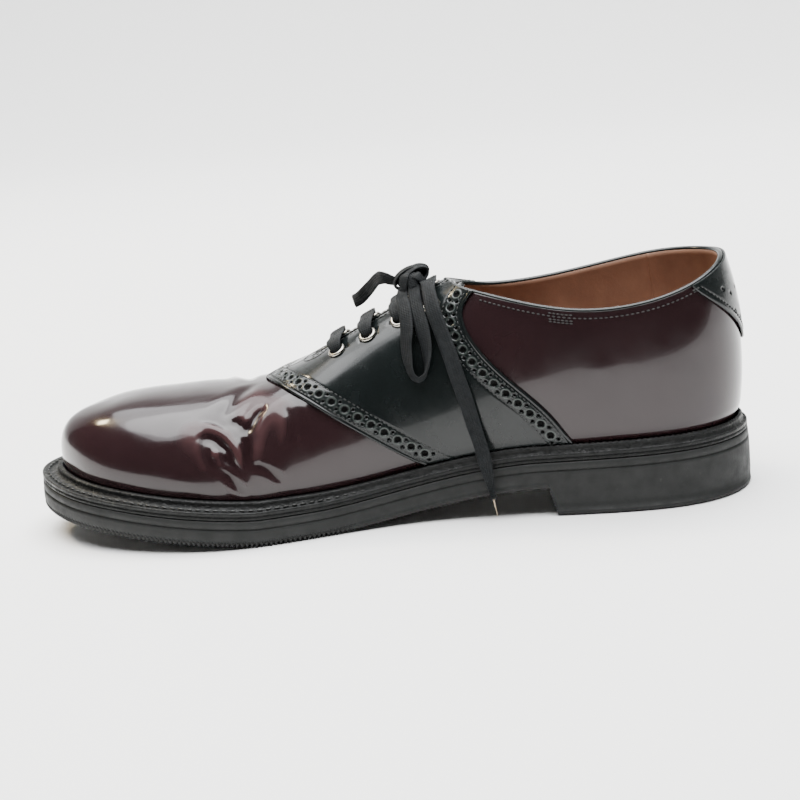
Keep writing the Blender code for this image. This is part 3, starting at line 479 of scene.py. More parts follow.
def sole_seat(along):
    """The height of the sole's underside, as if it had no heel."""
    share = along / SOLE_LENGTH
    breast = HEEL_LENGTH / SOLE_LENGTH
    heel = HEEL_HEIGHT + HEEL_PITCH * (1 - share / breast)
    fall = np.clip((FLAT_FROM - share) / (FLAT_FROM - breast), 0, 1)
    arch = HEEL_HEIGHT * fall * fall * (3 - 2 * fall)
    toe = TOE_SPRING * np.clip((share - FLAT_TO) / (1 - FLAT_TO), 0, 1.1) ** TOE_SPRING_BEND
    return np.where(share <= breast, heel, arch + toe)


def sole_top(along):
    return sole_seat(along) + SOLE_THICKNESS


def edge_frame(place):
    """The sole edge, and the level direction into the shoe from there, each as (along, side)."""
    step = 0.02
    edge = np.stack([around("along", place) * SOLE_LENGTH, around("side", place) * BALL_WIDTH], -1)
    forward = (around("along", place + step) - around("along", place - step)) * SOLE_LENGTH
    inward = (around("side", place + step) - around("side", place - step)) * BALL_WIDTH
    size = np.hypot(forward, inward)
    return edge, np.stack([inward / size, -forward / size], -1)


def crest_height(along):
    return CREST_HEIGHT * smooth_value(CREST[:, 0], CREST[:, 1], CREST_BENDS, along / SOLE_LENGTH)


def section_handles(place):
    edge, inwards = edge_frame(place)
    level = edge + inwards * (around("welt", place) * WELT_WIDTH)[..., None]
    foot = np.concatenate([level, (sole_top(level[..., 0]) + WELT_THICKNESS + 2 * GAP)[..., None]], -1)
    along = around("crest", place) * SOLE_LENGTH
    top = np.stack([along, around("crest_side", place) * BALL_WIDTH, crest_height(along)], -1)
    step = 0.002
    slope = (crest_height(along + step) - crest_height(along - step)) / (2 * step)
    lean = -inwards * (around("lean", place) * BALL_WIDTH)[..., None]
    rise = around("rise", place) * (top[..., 2] - foot[..., 2])
    wall = foot + np.concatenate([lean, rise[..., None]], -1)
    reach = (foot - top) * around("crown", place)[..., None]
    shoulder = top + np.stack([reach[..., 0], reach[..., 1], slope * reach[..., 0]], -1)
    return foot, wall, shoulder, top


def last_point(place, up):
    """The last's surface as (along, side, height): up runs from 0 at the welt to 1 on the crest line."""
    place, up = np.broadcast_arrays(np.asarray(place, float), np.asarray(up, float))
    foot, wall, shoulder, top = section_handles(place)
    b = up[..., None]
    a = 1 - b
    return a**3 * foot + 3 * a * a * b * wall + 3 * a * b * b * shoulder + b**3 * top


def last_normal(place, up):
    step = 0.004
    low = np.clip(up, step, 1 - step)
    forwards = last_point(place + step, low) - last_point(place - step, low)
    upwards = last_point(place, low + step) - last_point(place, low - step)
    out = np.cross(upwards, forwards)
    return unit(out)


def share_where(place, reached):
    """The lowest share of the way up at which reached says yes, or 1."""
    place = np.asarray(place, float)
    low, high = np.zeros_like(place), np.ones_like(place)
    never = ~reached(place, last_point(place, high))
    for _ in range(22):
        middle = (low + high) / 2
        yes = reached(place, last_point(place, middle))
        high = np.where(yes, middle, high)
        low = np.where(yes, low, middle)
    return np.where(never, 1.0, high)


def collar_share(place):
    return share_where(place, lambda at, point: point[..., 2] >= around("topline", at) * BACK_HEIGHT)


def slit_share(place, half):
    middle = around("crest_side", place) * BALL_WIDTH
    foot = section_handles(np.asarray(place, float))[0]
    found = share_where(
        place, lambda at, point: np.abs(point[..., 1] - around("crest_side", at) * BALL_WIDTH) <= half
    )
    return np.where(np.abs(foot[..., 1] - middle) <= half, 1.0, found)


def rib_share(place):
    return share_where(place, lambda at, point: point[..., 2] >= section_handles(at)[0][..., 2] + RIB_HEIGHT)


def bisect(low, high, is_below):
    for _ in range(40):
        middle = (low + high) / 2
        if is_below(middle):
            low = middle
        else:
            high = middle
    return low


THROAT_SECTION = bisect(0.0, float(LAST_ROW), lambda section: around("crest", section) < THROAT_ALONG)


def upper_top(place):
    place = np.asarray(place, float)
    section = np.minimum(place % LOOP_ROWS, LOOP_ROWS - place % LOOP_ROWS)
    collar = collar_share(place)
    slit = np.where(section > THROAT_SECTION, 1.0, slit_share(place, FACING_GAP / 2))
    return np.minimum(collar, slit)


TOP_PLACES = np.linspace(0, LOOP_ROWS, 1761)
RIB_TABLE = rib_share(TOP_PLACES)
TOP_TABLE = upper_top(TOP_PLACES)


def eased_top(places, tops):
    """The upper's top without the jump at the end of the slit, for all but the leather's highest rows."""
    section = np.minimum(places, LOOP_ROWS - places)
    start = THROAT_SECTION - EASE_BEFORE
    share = np.clip((section - start) / (EASE_BEFORE + EASE_AFTER), 0, 1)
    first = np.where(
        places < LAST_ROW, np.interp(start, places, tops), np.interp(LOOP_ROWS - start, places, tops)
    )
    eased = first + (1 - first) * share * share * (3 - 2 * share)
    return np.where((share > 0) & (share < 1), eased, tops)


EASED_TABLE = eased_top(TOP_PLACES, TOP_TABLE)


def wall_share(place, up):
    """The share of the way up the last, for a share of the way from the welt's rib to the upper's top."""
    place = np.asarray(place, float) % LOOP_ROWS
    low = np.interp(place, TOP_PLACES, RIB_TABLE)
    eased = np.interp(place, TOP_PLACES, EASED_TABLE)
    rest = np.clip((np.asarray(up) - EASED_UP_TO) / (1 - EASED_UP_TO), 0, 1)
    rest = rest * rest * (3 - 2 * rest)
    return low + np.asarray(up) * (eased - low) + rest * (np.interp(place, TOP_PLACES, TOP_TABLE) - eased)


JUST_OVER_RIB = last_point(TOP_PLACES, RIB_TABLE + 0.1 * (TOP_TABLE - RIB_TABLE))
WALL_LENGTHS = 10 * np.linalg.norm(JUST_OVER_RIB - last_point(TOP_PLACES, RIB_TABLE), axis=-1)


def foot_tuck(place, up):
    """How far the leather is drawn in just above the rib: most at the waist and heel, little at the toe."""
    place = np.asarray(place, float) % LOOP_ROWS
    section = np.minimum(place, LOOP_ROWS - place)
    share = np.interp(section, TUCK_SECTIONS, TUCK_SHARES)
    over_rib = np.asarray(up) * np.interp(place, TOP_PLACES, WALL_LENGTHS)
    return TUCK_DEPTH * share * np.clip(1 - over_rib / TUCK_HEIGHT, 0, 1) ** 2


def outline_middle():
    edges = edge_frame(np.arange(400) * LOOP_ROWS / 400)[0]
    return (edges.min(axis=0) + edges.max(axis=0)) / 2


MIDDLE_ALONG, MIDDLE_SIDE = outline_middle()


def to_part(point):
    """Points given as along, side and height, in the part's own frame."""
    return np.stack([point[..., 1] - MIDDLE_SIDE, MIDDLE_ALONG - point[..., 0], point[..., 2]], -1)


def turn_to_part(out):
    return np.stack([out[..., 1], -out[..., 0], out[..., 2]], -1)


def side_place(section, outer):
    """The place on the loop of a section counted from the back of the heel, on either side."""
    return LOOP_ROWS - section if outer else section


def wall_normal(place, up):
    """The direction out of the leather. On the crest line both halves of the shoe agree on it."""
    place, up = np.broadcast_arrays(np.asarray(place, float), np.asarray(up, float))
    out = last_normal(place, wall_share(place, up))
    section = np.minimum(place % LOOP_ROWS, LOOP_ROWS - place % LOOP_ROWS)
    other = last_normal(LOOP_ROWS - place, wall_share(LOOP_ROWS - place, up))
    meets = np.clip((up - CREST_BLEND) / (1 - CREST_BLEND), 0, 1) * (section > THROAT_SECTION)
    out = out + (other - out) * (meets / 2)[..., None]
    return turn_to_part(unit(out))


def wall_point(place, up, distance=0.0):
    """Points at a distance outside the upper, by place and share of the way up its wall."""
    place, up = np.broadcast_arrays(np.asarray(place, float), np.asarray(up, float))
    distance = np.broadcast_to(np.asarray(distance, float), place.shape) - foot_tuck(place, up)
    return to_part(last_point(place, wall_share(place, up))) + wall_normal(place, up) * distance[..., None]


def wall_height(place):
    """The length of the wall from the rib to the top, measured near the top."""
    return np.linalg.norm(wall_point(place, 1.0) - wall_point(place, 0.9), axis=-1) / 0.1


def smooth_line(points, step):
    """Points about a step apart on the smooth curve through a few given ones."""
    points = np.asarray(points, float)
    points = np.vstack([2 * points[0] - points[1], points, 2 * points[-1] - points[-2]])
    found = []
    for a, b, c, d in zip(points, points[1:], points[2:], points[3:]):
        count = max(1, round(float(np.linalg.norm(c - b)) / step))
        t = (np.arange(count) / count)[:, None]
        curve = 2 * b + (c - a) * t + (2 * a - 5 * b + 4 * c - d) * t * t + (3 * b - a - 3 * c + d) * t**3
        found.append(curve / 2)
    return np.vstack(found + [points[-2:-1]])


def distance_to_line(points, line):
    """How far each point is from a line of points, and where along the line, as a share."""
    steps = np.linalg.norm(np.diff(line, axis=0), axis=1)
    starts = reach_along(line)
    nearest = np.full(points.shape[:-1], np.inf)
    share = np.zeros(points.shape[:-1])
    for a, b, start, step in zip(line, line[1:], starts, steps):
        t = np.clip((points - a) @ (b - a) / step**2, 0, 1)
        off = np.linalg.norm(points - a - t[..., None] * (b - a), axis=-1)
        share = np.where(off < nearest, (start + t * step) / starts[-1], share)
        nearest = np.minimum(nearest, off)
    return nearest, share


def ripple(points, wavelength, seed):
    """A smooth random height between -1 and 1 with bumps about a wavelength across."""
    draw = np.random.default_rng(seed)
    height = np.zeros(points.shape[:-1])
    for _ in range(RIPPLE_WAVES):
        direction = draw.normal(size=3)
        direction /= np.linalg.norm(direction)
        turn = points @ direction * (2 * math.pi / wavelength * draw.uniform(0.6, 1.4))
        height += np.sin(turn + draw.uniform(0, 2 * math.pi))
    return height / RIPPLE_WAVES


def unit(vectors):
    return vectors / np.linalg.norm(vectors, axis=-1, keepdims=True)


def reach_along(points):
    """How far along a line each of its points lies."""
    return np.concatenate([[0.0], np.cumsum(np.linalg.norm(np.diff(points, axis=0), axis=1))])


def sampled(stops, places, values):
    """Rows of values, given at some places, at the stops between them."""
    return np.stack([np.interp(stops, places, column) for column in values.T], -1)


def bell(offset, width):
    return np.exp(-((offset / width) ** 2))


# Making the pieces.


def select_only(piece):
    bpy.ops.object.select_all(action="DESELECT")
    piece.select_set(True)
    bpy.context.view_layer.objects.active = piece


def laid_grid(name, points, marks=None, closed=False):
    """A grid whose vertices are laid on rows of points. Rows and columns that meet are joined."""
    rows, columns = points.shape[:2]
    bpy.ops.object.select_all(action="DESELECT")
    bpy.ops.mesh.primitive_grid_add(x_subdivisions=columns - 1, y_subdivisions=rows - 1, size=1)
    piece = bpy.context.object
    piece.name = piece.data.name = name
    piece.data.vertices.foreach_set("co", np.ascontiguousarray(points, np.float32).ravel())
    for mark, values in (marks or {}).items():
        kind, slot = ("FLOAT_VECTOR", "vector") if values.ndim == 3 else ("FLOAT", "value")
        layer = piece.data.attributes.new(mark, kind, "POINT")
        layer.data.foreach_set(slot, np.ascontiguousarray(values, np.float32).ravel())
    sew(closed)
    bpy.ops.object.shade_smooth()
    return piece


def sew(closed=False):
    """Joins the points of the chosen piece that meet, and turns a closed piece's faces outward."""
    bpy.ops.object.mode_set(mode="EDIT")
    bpy.ops.mesh.select_all(action="SELECT")
    bpy.ops.mesh.remove_doubles(threshold=JOIN_DISTANCE)
    if closed:
        bpy.ops.mesh.normals_make_consistent(inside=False)
    bpy.ops.object.mode_set(mode="OBJECT")


def joined(name, pieces):
    select_only(pieces[0])
    for piece in pieces:
        piece.select_set(True)
    bpy.ops.object.join()
    whole = bpy.context.object
    whole.name = whole.data.name = name
    sew()
    return whole


def thicken(piece, thickness):
    """Gives a sheet its thickness on the inner side."""
    select_only(piece)
    modifier = piece.modifiers.new("Solidify", "SOLIDIFY")
    modifier.thickness = thickness
    modifier.offset = -1
    bpy.ops.object.modifier_apply(modifier=modifier.name)


def punch_eyelets(piece):
    """Takes out the cells of a sheet that lie round the eyelets."""
    select_only(piece)
    faces = piece.data.polygons
    middles = np.empty(len(faces) * 3, np.float32)
    faces.foreach_get("center", middles)
    middles = middles.reshape(-1, 3)
    inside = np.zeros(len(faces), bool)
    for _, centre, out in EYELETS:
        off = middles - centre
        depth = off @ out
        beside = np.linalg.norm(off - depth[:, None] * out, axis=1)
        inside |= (beside < PUNCH_RADIUS) & (np.abs(depth) < PUNCH_DEPTH)
    bpy.ops.object.mode_set(mode="EDIT")
    bpy.ops.mesh.select_mode(type="FACE")
    bpy.ops.mesh.select_all(action="DESELECT")
    bpy.ops.object.mode_set(mode="OBJECT")
    faces.foreach_set("select", inside)
    bpy.ops.object.mode_set(mode="EDIT")
    bpy.ops.mesh.delete(type="FACE")
    bpy.ops.object.mode_set(mode="OBJECT")


def dress(piece, material, slot, *nodes):
    """Gives a finished piece its material and hides the nodes it stands for. The slot is not used."""
    piece.data.materials.clear()
    piece.data.materials.append(material)
    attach(piece, "root")
    if nodes:
        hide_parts(*nodes)


def added(thing):
    bpy.context.scene.collection.objects.link(thing)
    return thing


# Materials. A node's sockets are given by name or number, or as a row from its first socket on. A noise
# takes its place, a fourth coordinate that isn't used, its scale, its detail and its roughness. A map range
# takes its value, the range that it comes from and the range that it goes to.

COLOURS = {"output": 2, "data_type": "RGBA"}
FINE, FINER, FINEST = (3.0, 0.55), (4.0, 0.55), (5.0, 0.55)
PORE = 0.0009


def colour(code):
    """An sRGB hex colour as linear light."""
    parts = [int(code[i : i + 2], 16) / 255 for i in (1, 3, 5)]
    return [*(part / 12.92 if part <= 0.04045 else ((part + 0.055) / 1.055) ** 2.4 for part in parts), 1.0]


def fill(material, node, sockets):
    """Links or sets a node's sockets. Text is a hex colour."""
    for socket, source in sockets.items() if isinstance(sockets, dict) else enumerate(sockets):
        if isinstance(source, bpy.types.NodeSocket):
            material.node_tree.links.new(source, node.inputs[socket])
        else:
            node.inputs[socket].default_value = colour(source) if isinstance(source, str) else source


def add_node(material, kind, sockets=(), output=0, **settings):
    """Adds a node with its settings and links, and gives back one of its outputs."""
    node = material.node_tree.nodes.new(f"ShaderNode{kind}")
    for name, value in settings.items():
        setattr(node, name, value)
    fill(material, node, sockets)
    return node.outputs[output]


def new_material(name):
    """A material, with what adds a node to it and the place in the object."""
    material = bpy.data.materials.new(name)
    material.use_nodes = True
    add = functools.partial(add_node, material)
    return material, add, add("TexCoord", output="Object")


def shaded(material, sockets):
    fill(material, material.node_tree.nodes["Principled BSDF"], sockets)
    return material


def burgundy_leather():
    # Corrected-grain calf, dyed dark red and polished with wax: a deep colour under a clear, slightly
    # uneven gloss, with fine pores, paler and duller rubbed creases whose hollows are darkened with painted
    # shade, and a few scuffs near the toe.
    material, add, place = new_material("polished_burgundy_calf")
    fold = add("Attribute", output="Fac", attribute_name="fold")
    clouds = add("TexNoise", (place, 0.0, 1 / 0.045, *FINE))
    dye = add("Mix", {0: clouds, 6: "#190f11", 7: "#291a1c"}, **COLOURS)
    rubbed = add("MapRange", (fold, 0.15, 0.9, 0.0, 0.35))
    dye = add("Mix", {0: rubbed, 6: dye, 7: "#553a3b"}, **COLOURS)
    # Painted shade: the hollows of the creases, below zero in the fold mark, are darkened.
    painted_crease_shade = add("MapRange", (fold, -0.2, -0.9, 0.0, 0.6))
    dye = add("Mix", {0: painted_crease_shade, 6: dye, 7: "#170c0e"}, **COLOURS)
    streaks = add("Mapping", {"Vector": place, "Scale": (1.0, 0.16, 0.9), "Rotation": (0.3, 0.2, 0.1)})
    scratches = add("TexNoise", (streaks, 0.0, 1 / 0.0011, 6.0, 0.7))
    scratches = add("MapRange", (scratches, 0.62, 0.70, 0.0, 0.5))
    near_toe = add("MapRange", (add("SeparateXYZ", (place,), "Y"), -0.115, -0.14, 0.0, 1.0))
    scuffed = add("Math", (scratches, near_toe), operation="MULTIPLY")
    dye = add("Mix", {0: scuffed, 6: dye, 7: "#8b7672"}, **COLOURS)
    bent = add("Math", (fold,), operation="ABSOLUTE")
    wax = add("TexNoise", (place, 0.0, 1 / 0.012, *FINER))
    grain = add("TexNoise", (place, 0.0, 1 / 0.006, *FINE))
    grain = add("Bump", {"Height": grain, "Distance": 0.0004, "Strength": 0.10})
    pores = add("TexVoronoi", {"Vector": place, "Scale": 1 / PORE})
    return shaded(material, {
        "Base Color": dye,
        "Roughness": add("MapRange", (wax, 0.3, 0.7, 0.12, 0.24)),
        "Coat Weight": add("MapRange", (bent, 0.2, 1.0, 0.34, 0.12)),
        "Coat Roughness": 0.06, "IOR": 1.5, "Specular IOR Level": 0.27,
        "Normal": add("Bump", {"Height": pores, "Distance": 0.0001, "Strength": 0.05, "Normal": grain}),
    })


def black_leather(name, dark, pale):
    # The same calf dyed black: glossy, with a grey-green cast where the wax has dulled. The punched holes
    # are shallow dips, painted near black and left unpolished as painted shade for their hollows, and their
    # rims are rubbed paler.
    material, add, place = new_material(name)
    hole = add("Attribute", output="Fac", attribute_name="hole")
    clouds = add("TexNoise", (place, 0.0, 1 / 0.03, *FINE))
    dye = add("Mix", {0: clouds, 6: dark, 7: pale}, **COLOURS)
    # Painted shade: the dips of the punched holes are painted near black.
    inside = add("MapRange", (hole, 0.2, 0.8, 0.0, 1.0))
    dye = add("Mix", {0: inside, 6: dye, 7: "#030303"}, **COLOURS)
    rim = add("MapRange", (hole, -0.1, -1.0, 0.0, 0.8))
    dye = add("Mix", {0: rim, 6: dye, 7: "#59605c"}, **COLOURS)
    wax = add("TexNoise", (place, 0.0, 1 / 0.01, *FINER))
    wax = add("MapRange", (wax, 0.3, 0.7, 0.16, 0.32))
    raw = add("MapRange", (hole, 0.2, 0.8, 0.0, 0.6))
    grain = add("TexNoise", (place, 0.0, 1 / 0.005, *FINE))
    grain = add("Bump", {"Height": grain, "Distance": 0.0004, "Strength": 0.12})
    pores = add("TexVoronoi", {"Vector": place, "Scale": 1 / PORE})
    return shaded(material, {
        "Base Color": dye,
        "Roughness": add("Math", (wax, raw), operation="ADD"),
        "Coat Weight": add("MapRange", (hole, 0.1, 0.6, 0.24, 0.0)),
        "Coat Roughness": 0.08, "IOR": 1.5, "Specular IOR Level": 0.23,
        "Normal": add("Bump", {"Height": pores, "Distance": 0.0001, "Strength": 0.035, "Normal": grain}),
    })


def lining_leather(name, pale, dark):
    # Vegetable-tanned lining leather, undyed: warm tan and matt, darker and smoother where the foot rubs.
    material, add, place = new_material(name)
    clouds = add("MapRange", (add("TexNoise", (place, 0.0, 1 / 0.03, *FINEST)), 0.3, 0.7, 0.0, 1.0))
    rubbed = add("TexNoise", (place, 0.0, 1 / 0.01, *FINE))
    fibres = add("TexNoise", (place, 0.0, 1 / 0.0012, *FINEST))
    return shaded(material, {
        "Base Color": add("Mix", {0: clouds, 6: pale, 7: dark}, **COLOURS),
        "Roughness": add("MapRange", (rubbed, 0.3, 0.7, 0.5, 0.72)), "IOR": 1.5,
        "Normal": add("Bump", {"Height": fibres, "Distance": 0.0002, "Strength": 0.35}),
    })


def welt_leather():
    # Split leather welting, dyed black, wheeled and waxed: dull and fibrous, with dust and scuffs that show
    # pale at the toe.
    material, add, place = new_material("black_waxed_welting")
    clouds = add("TexNoise", (place, 0.0, 1 / 0.008, *FINEST))
    dye = add("Mix", {0: clouds, 6: "#040505", 7: "#0c0e0d"}, **COLOURS)
    dust = add("MapRange", (add("TexNoise", (place, 0.0, 1 / 0.0016, *FINER)), 0.56, 0.72, 0.0, 1.0))
    near_toe = add("MapRange", (add("SeparateXYZ", (place,), "Y"), -0.09, -0.135, 0.08, 0.55))
    dust = add("Math", (dust, near_toe), operation="MULTIPLY")
    wax = add("TexNoise", (place, 0.0, 1 / 0.004, *FINE))
    fibres = add("TexNoise", (place, 0.0, 1 / 0.0014, *FINEST))
    return shaded(material, {
        "Base Color": add("Mix", {0: dust, 6: dye, 7: "#53544c"}, **COLOURS),
        "Roughness": add("MapRange", (wax, 0.3, 0.7, 0.32, 0.6)), "IOR": 1.5, "Specular IOR Level": 0.25,
        "Normal": add("Bump", {"Height": fibres, "Distance": 0.0007, "Strength": 0.8}),
    })


def sole_rubber():
    # Moulded vulcanised rubber, unpainted: dark grey and matt, with a fine moulded skin, rubbed paler in
    # specks, and darkened with painted shade in the recessed line under the ledge.
    material, add, place = new_material("moulded_dark_grey_rubber")
    clouds = add("TexNoise", (place, 0.0, 1 / 0.02, *FINEST))
    grey = add("Mix", {0: clouds, 6: "#191a1a", 7: "#202120"}, **COLOURS)
    worn = add("MapRange", (add("TexNoise", (place, 0.0, 1 / 0.0022, 6.0, 0.7)), 0.62, 0.78, 0.0, 0.35))
    grey = add("Mix", {0: worn, 6: grey, 7: "#3f3f3c"}, **COLOURS)
    # Painted shade: the recessed line under the ledge is darkened.
    line = add("MapRange", (add("Attribute", output="Fac", attribute_name="ledge_groove_shade"), 0.0, 1.0, 0.0, 0.8))
    dull = add("TexNoise", (place, 0.0, 1 / 0.006, *FINE))
    skin = add("TexNoise", (place, 0.0, 1 / 0.0009, *FINER))
    return shaded(material, {
        "Base Color": add("Mix", {0: line, 6: grey, 7: "#191a19"}, **COLOURS),
        "Roughness": add("MapRange", (dull, 0.3, 0.7, 0.5, 0.72)), "IOR": 1.52, "Specular IOR Level": 0.25,
        "Normal": add("Bump", {"Height": skin, "Distance": 0.0003, "Strength": 0.35}),
    })


def nickel():
    # Brass with bright nickel plate, slightly dulled by polish and dust.
    material, add, place = new_material("nickel_plated_brass")
    clouds = add("TexNoise", (place, 0.0, 1 / 0.002, *FINE))
    dull = add("TexNoise", (place, 0.0, 1 / 0.001, *FINE))
    dents = add("TexNoise", (place, 0.0, 1 / 0.0008, *FINE))
    return shaded(material, {
        "Base Color": add("Mix", {0: clouds, 6: "#9a958b", 7: "#bdb8ae"}, **COLOURS), "Metallic": 1.0,
        "Roughness": add("MapRange", (dull, 0.3, 0.7, 0.12, 0.34)),
        "Normal": add("Bump", {"Height": dents, "Distance": 0.00005, "Strength": 0.2}),
    })


def cotton_lace():
    # Waxed flat cotton lace, woven with ribs along its length and a fine weft across them: dark, soft,
    # nearly matt, with slightly dusty rib tops.
    material, add, place = new_material("black_woven_cotton")
    weave = add("Attribute", output="Vector", attribute_name="weave")
    weft = add("Math", (add("SeparateXYZ", (weave,), "X"), 2 * math.pi / WEFT_PITCH), operation="MULTIPLY")
    weft = add("Math", (weft,), operation="SINE")
    clouds = add("TexNoise", (place, 0.0, 1 / 0.006, *FINER))
    dye = add("Mix", {0: clouds, 6: "#06080a", 7: "#0d1113"}, **COLOURS)
    dusty = add("MapRange", (add("TexNoise", (place, 0.0, 1 / 0.0012, *FINE)), 0.5, 0.7, 0.0, 0.45))
    dull = add("TexNoise", (place, 0.0, 1 / 0.003, *FINE))
    return shaded(material, {
        "Base Color": add("Mix", {0: dusty, 6: dye, 7: "#171c1f"}, **COLOURS),
        "Roughness": add("MapRange", (dull, 0.3, 0.7, 0.6, 0.82)), "IOR": 1.5, "Specular IOR Level": 0.25,
        "Sheen Weight": 0.02, "Sheen Roughness": 0.4,
        "Normal": add("Bump", {"Height": weft, "Distance": 0.00008, "Strength": 0.5}),
    })


def sewing_thread(name, dark, pale):
    # Waxed, twisted linen thread: it catches the light a little on each stitch.
    material, add, place = new_material(name)
    clouds = add("TexNoise", (place, 0.0, 1 / 0.001, *FINE))
    twist = add("TexNoise", (place, 0.0, 1 / 0.0004, *FINE))
    return shaded(material, {
        "Base Color": add("Mix", {0: clouds, 6: dark, 7: pale}, **COLOURS),
        "Roughness": add("MapRange", (clouds, 0.3, 0.7, 0.35, 0.6)), "IOR": 1.5,
        "Normal": add("Bump", {"Height": twist, "Distance": 0.0001, "Strength": 0.5}),
    })


def paper_floor():
    # Matt white background paper.
    material, add, place = new_material("matt_white_paper")
    clouds = add("TexNoise", (place, 0.0, 1 / 0.4, *FINE))
    paper = add("Mix", {0: clouds, 6: "#f9f9f8", 7: "#fcfcfb"}, **COLOURS)
    return shaded(material, {"Base Color": paper, "Roughness": 0.85, "IOR": 1.45})


BURGUNDY = burgundy_leather()
BLACK = black_leather("polished_black_calf", "#0b0e0e", "#171c1c")
TONGUE_BLACK = black_leather("dull_black_tongue_calf", "#0c0e0e", "#191c1c")
LINING = lining_leather("tan_lining_calf", "#a57d66", "#805c48")
INSOLE = lining_leather("tan_insole_leather", "#8f6e5a", "#6f4f3e")
WELTING = welt_leather()
RUBBER = sole_rubber()
NICKEL = nickel()
COTTON = cotton_lace()
THREAD = sewing_thread("black_waxed_thread", "#0d0e0e", "#232524")
TIP_LINEN = sewing_thread("undyed_linen_thread", "#a8937a", "#cbb99f")
WELT_THREAD = sewing_thread("dusty_welt_thread", "#101110", "#2b2c29")


# The eyelets' places, on the lines beside the slit.


def beside_slit_frame(number, outer, from_middle, distance):
    """A point beside the slit, level with an eyelet and over the last, and the direction out there."""
    share = EYELET_FIRST_ALONG + (EYELET_LAST_ALONG - EYELET_FIRST_ALONG) * number / (EYELET_COUNT - 1)
    sections = np.linspace(FACING_SEARCH_FROM, THROAT_SECTION, FACING_SEARCH_STEPS)
    places = side_place(sections, outer)
    shares = slit_share(places, from_middle)
    section = np.interp(share * SOLE_LENGTH, last_point(places, shares)[..., 0], sections)
    place, up = side_place(section, outer), np.interp(section, sections, shares)
    out = turn_to_part(last_normal(place, up))
    return to_part(last_point(place, up)) + out * distance, out


EYELETS = [
    (f"{side}_{number + 1}", *beside_slit_frame(number, side == "outer", EYELET_FROM_MIDDLE, 0.0))
    for side in ("inner", "outer") for number in range(EYELET_COUNT)
]


# The upper: creased burgundy leather with its lining and the rolled edge of the collar.


def fold_heights(points):
    """The creases that walking has left, as heights over the smooth leather."""
    height = np.zeros(points.shape[:-1])
    for outer, depth, width, marks in FOLDS:
        sections, ups = smooth_line(marks, FOLD_STEP).T
        line = wall_point(side_place(sections, outer), ups)
        off, share = distance_to_line(points, line)
        ends = np.clip(np.minimum(share, 1 - share) / FOLD_END_SHARE, 0, 1) ** FOLD_END_POWER
        across = off / (FOLD_WIDENING * width * (FOLD_TIP_WIDTH + (1 - FOLD_TIP_WIDTH) * ends))
        bank = FOLD_BANK_HEIGHT * bell(across - FOLD_BANK_OFFSET, 1)
        height += FOLD_SHARE * depth * ends * (bell(across, 1) - bank)
    for outer, section, up, depth, width in MOUNDS:
        centre = wall_point(side_place(section, outer), up)
        height += depth * bell(np.linalg.norm(points - centre, axis=-1), width)
    return height


def vamp_share(points):
    """1 over the bending part of the vamp, fading out to 0 towards the toe and the saddle."""
    return bell(points[..., 1] - VAMP_MIDDLE, VAMP_REACH)


def make_leather():
    half = np.concatenate([
        np.linspace(0, BACK_SEAM_TO, 5)[:-1], np.arange(BACK_SEAM_TO, CREASES_FROM, QUARTER_STEP),
        np.arange(CREASES_FROM, CREASES_TO, CREASE_STEP), np.linspace(CREASES_TO, LAST_ROW, 42),
    ])
    places = np.concatenate([half, (LOOP_ROWS - half)[-2::-1]])
    ups = np.concatenate([np.linspace(0, FOOT_SHARE, 11), np.linspace(FOOT_SHARE, 1, 53)[1:]])
    place, up = np.meshgrid(places, ups, indexing="ij")
    skin = wall_point(place, up)
    height, length, seed = VAMP_WAVES
    folds = fold_heights(skin) + vamp_share(skin) * height * ripple(skin, length, seed)
    for height, length, seed in ALL_OVER_WAVES:
        folds += height * ripple(skin, length, seed)
    folds *= np.clip(up / FOLDS_START, 0, 1)
    seam = bell(skin[..., 0] - wall_point(0.0, 0.5)[0], BACK_SEAM_WIDTH) * (skin[..., 1] > BACK_SEAM_FROM)
    skin = skin + wall_normal(place, up) * (folds - BACK_SEAM_DEPTH * seam)[..., None]
    foot = to_part(last_point(places, 0.0))[:, None]
    # The fold mark is the creases' height: the material pales the ridges as rubbed wear and darkens the
    # hollows with painted shade.
    marks = np.concatenate([folds[:, :1] * 0, folds], 1) / FULL_FOLD
    leather = laid_grid("upper_leather", np.concatenate([foot, skin], 1), {"fold": marks})
    punch_eyelets(leather)
    thicken(leather, LEATHER_THICKNESS)
    dress(leather, BURGUNDY, "burgundy_leather", "upper")


def make_lining():
    """The lining follows the hollows of the creases, stops short of the slit and overlaps at a seam."""
    seam_from, seam_to = LINING_SEAM - LINING_LAP, LINING_SEAM + LINING_LAP
    places = np.concatenate([
        np.linspace(0, LAST_ROW, 130), np.linspace(LAST_ROW, seam_from, 100)[1:],
        np.linspace(seam_from, seam_to, 24)[1:-1], np.linspace(seam_to, LOOP_ROWS, 24),
    ])
    section = np.minimum(places, LOOP_ROWS - places)
    past_corner = np.clip((section - CORNER_INNER) / FACING_FADE, 0, 1)
    before_throat = np.clip((THROAT_SECTION - section) / FACING_FADE, 0, 1)
    place, up = np.meshgrid(places, np.linspace(0, 1, 30), indexing="ij")
    up = up * (1 - FACING_TURN_IN * past_corner * before_throat)[:, None]
    smooth = wall_point(place, up)
    sunk = np.minimum(fold_heights(smooth), 0.0) - LINING_SLACK * (vamp_share(smooth) + 0.5)
    step = np.clip((place - LINING_SEAM) / LAP_STEP, 0, 1) * np.clip((seam_to - place) / LAP_FADE, 0, 1)
    under = LEATHER_THICKNESS + LINING_GAP
    skin = wall_point(place, up, sunk - LINING_SLACK * step - under)
    foot = to_part(last_point(places, 0.0)) - wall_normal(places, 0.0) * under
    lining = laid_grid("lining", np.concatenate([foot[:, None], skin], 1))
    punch_eyelets(lining)
    thicken(lining, LINING_THICKNESS)
    dress(lining, LINING, "tan_leather")


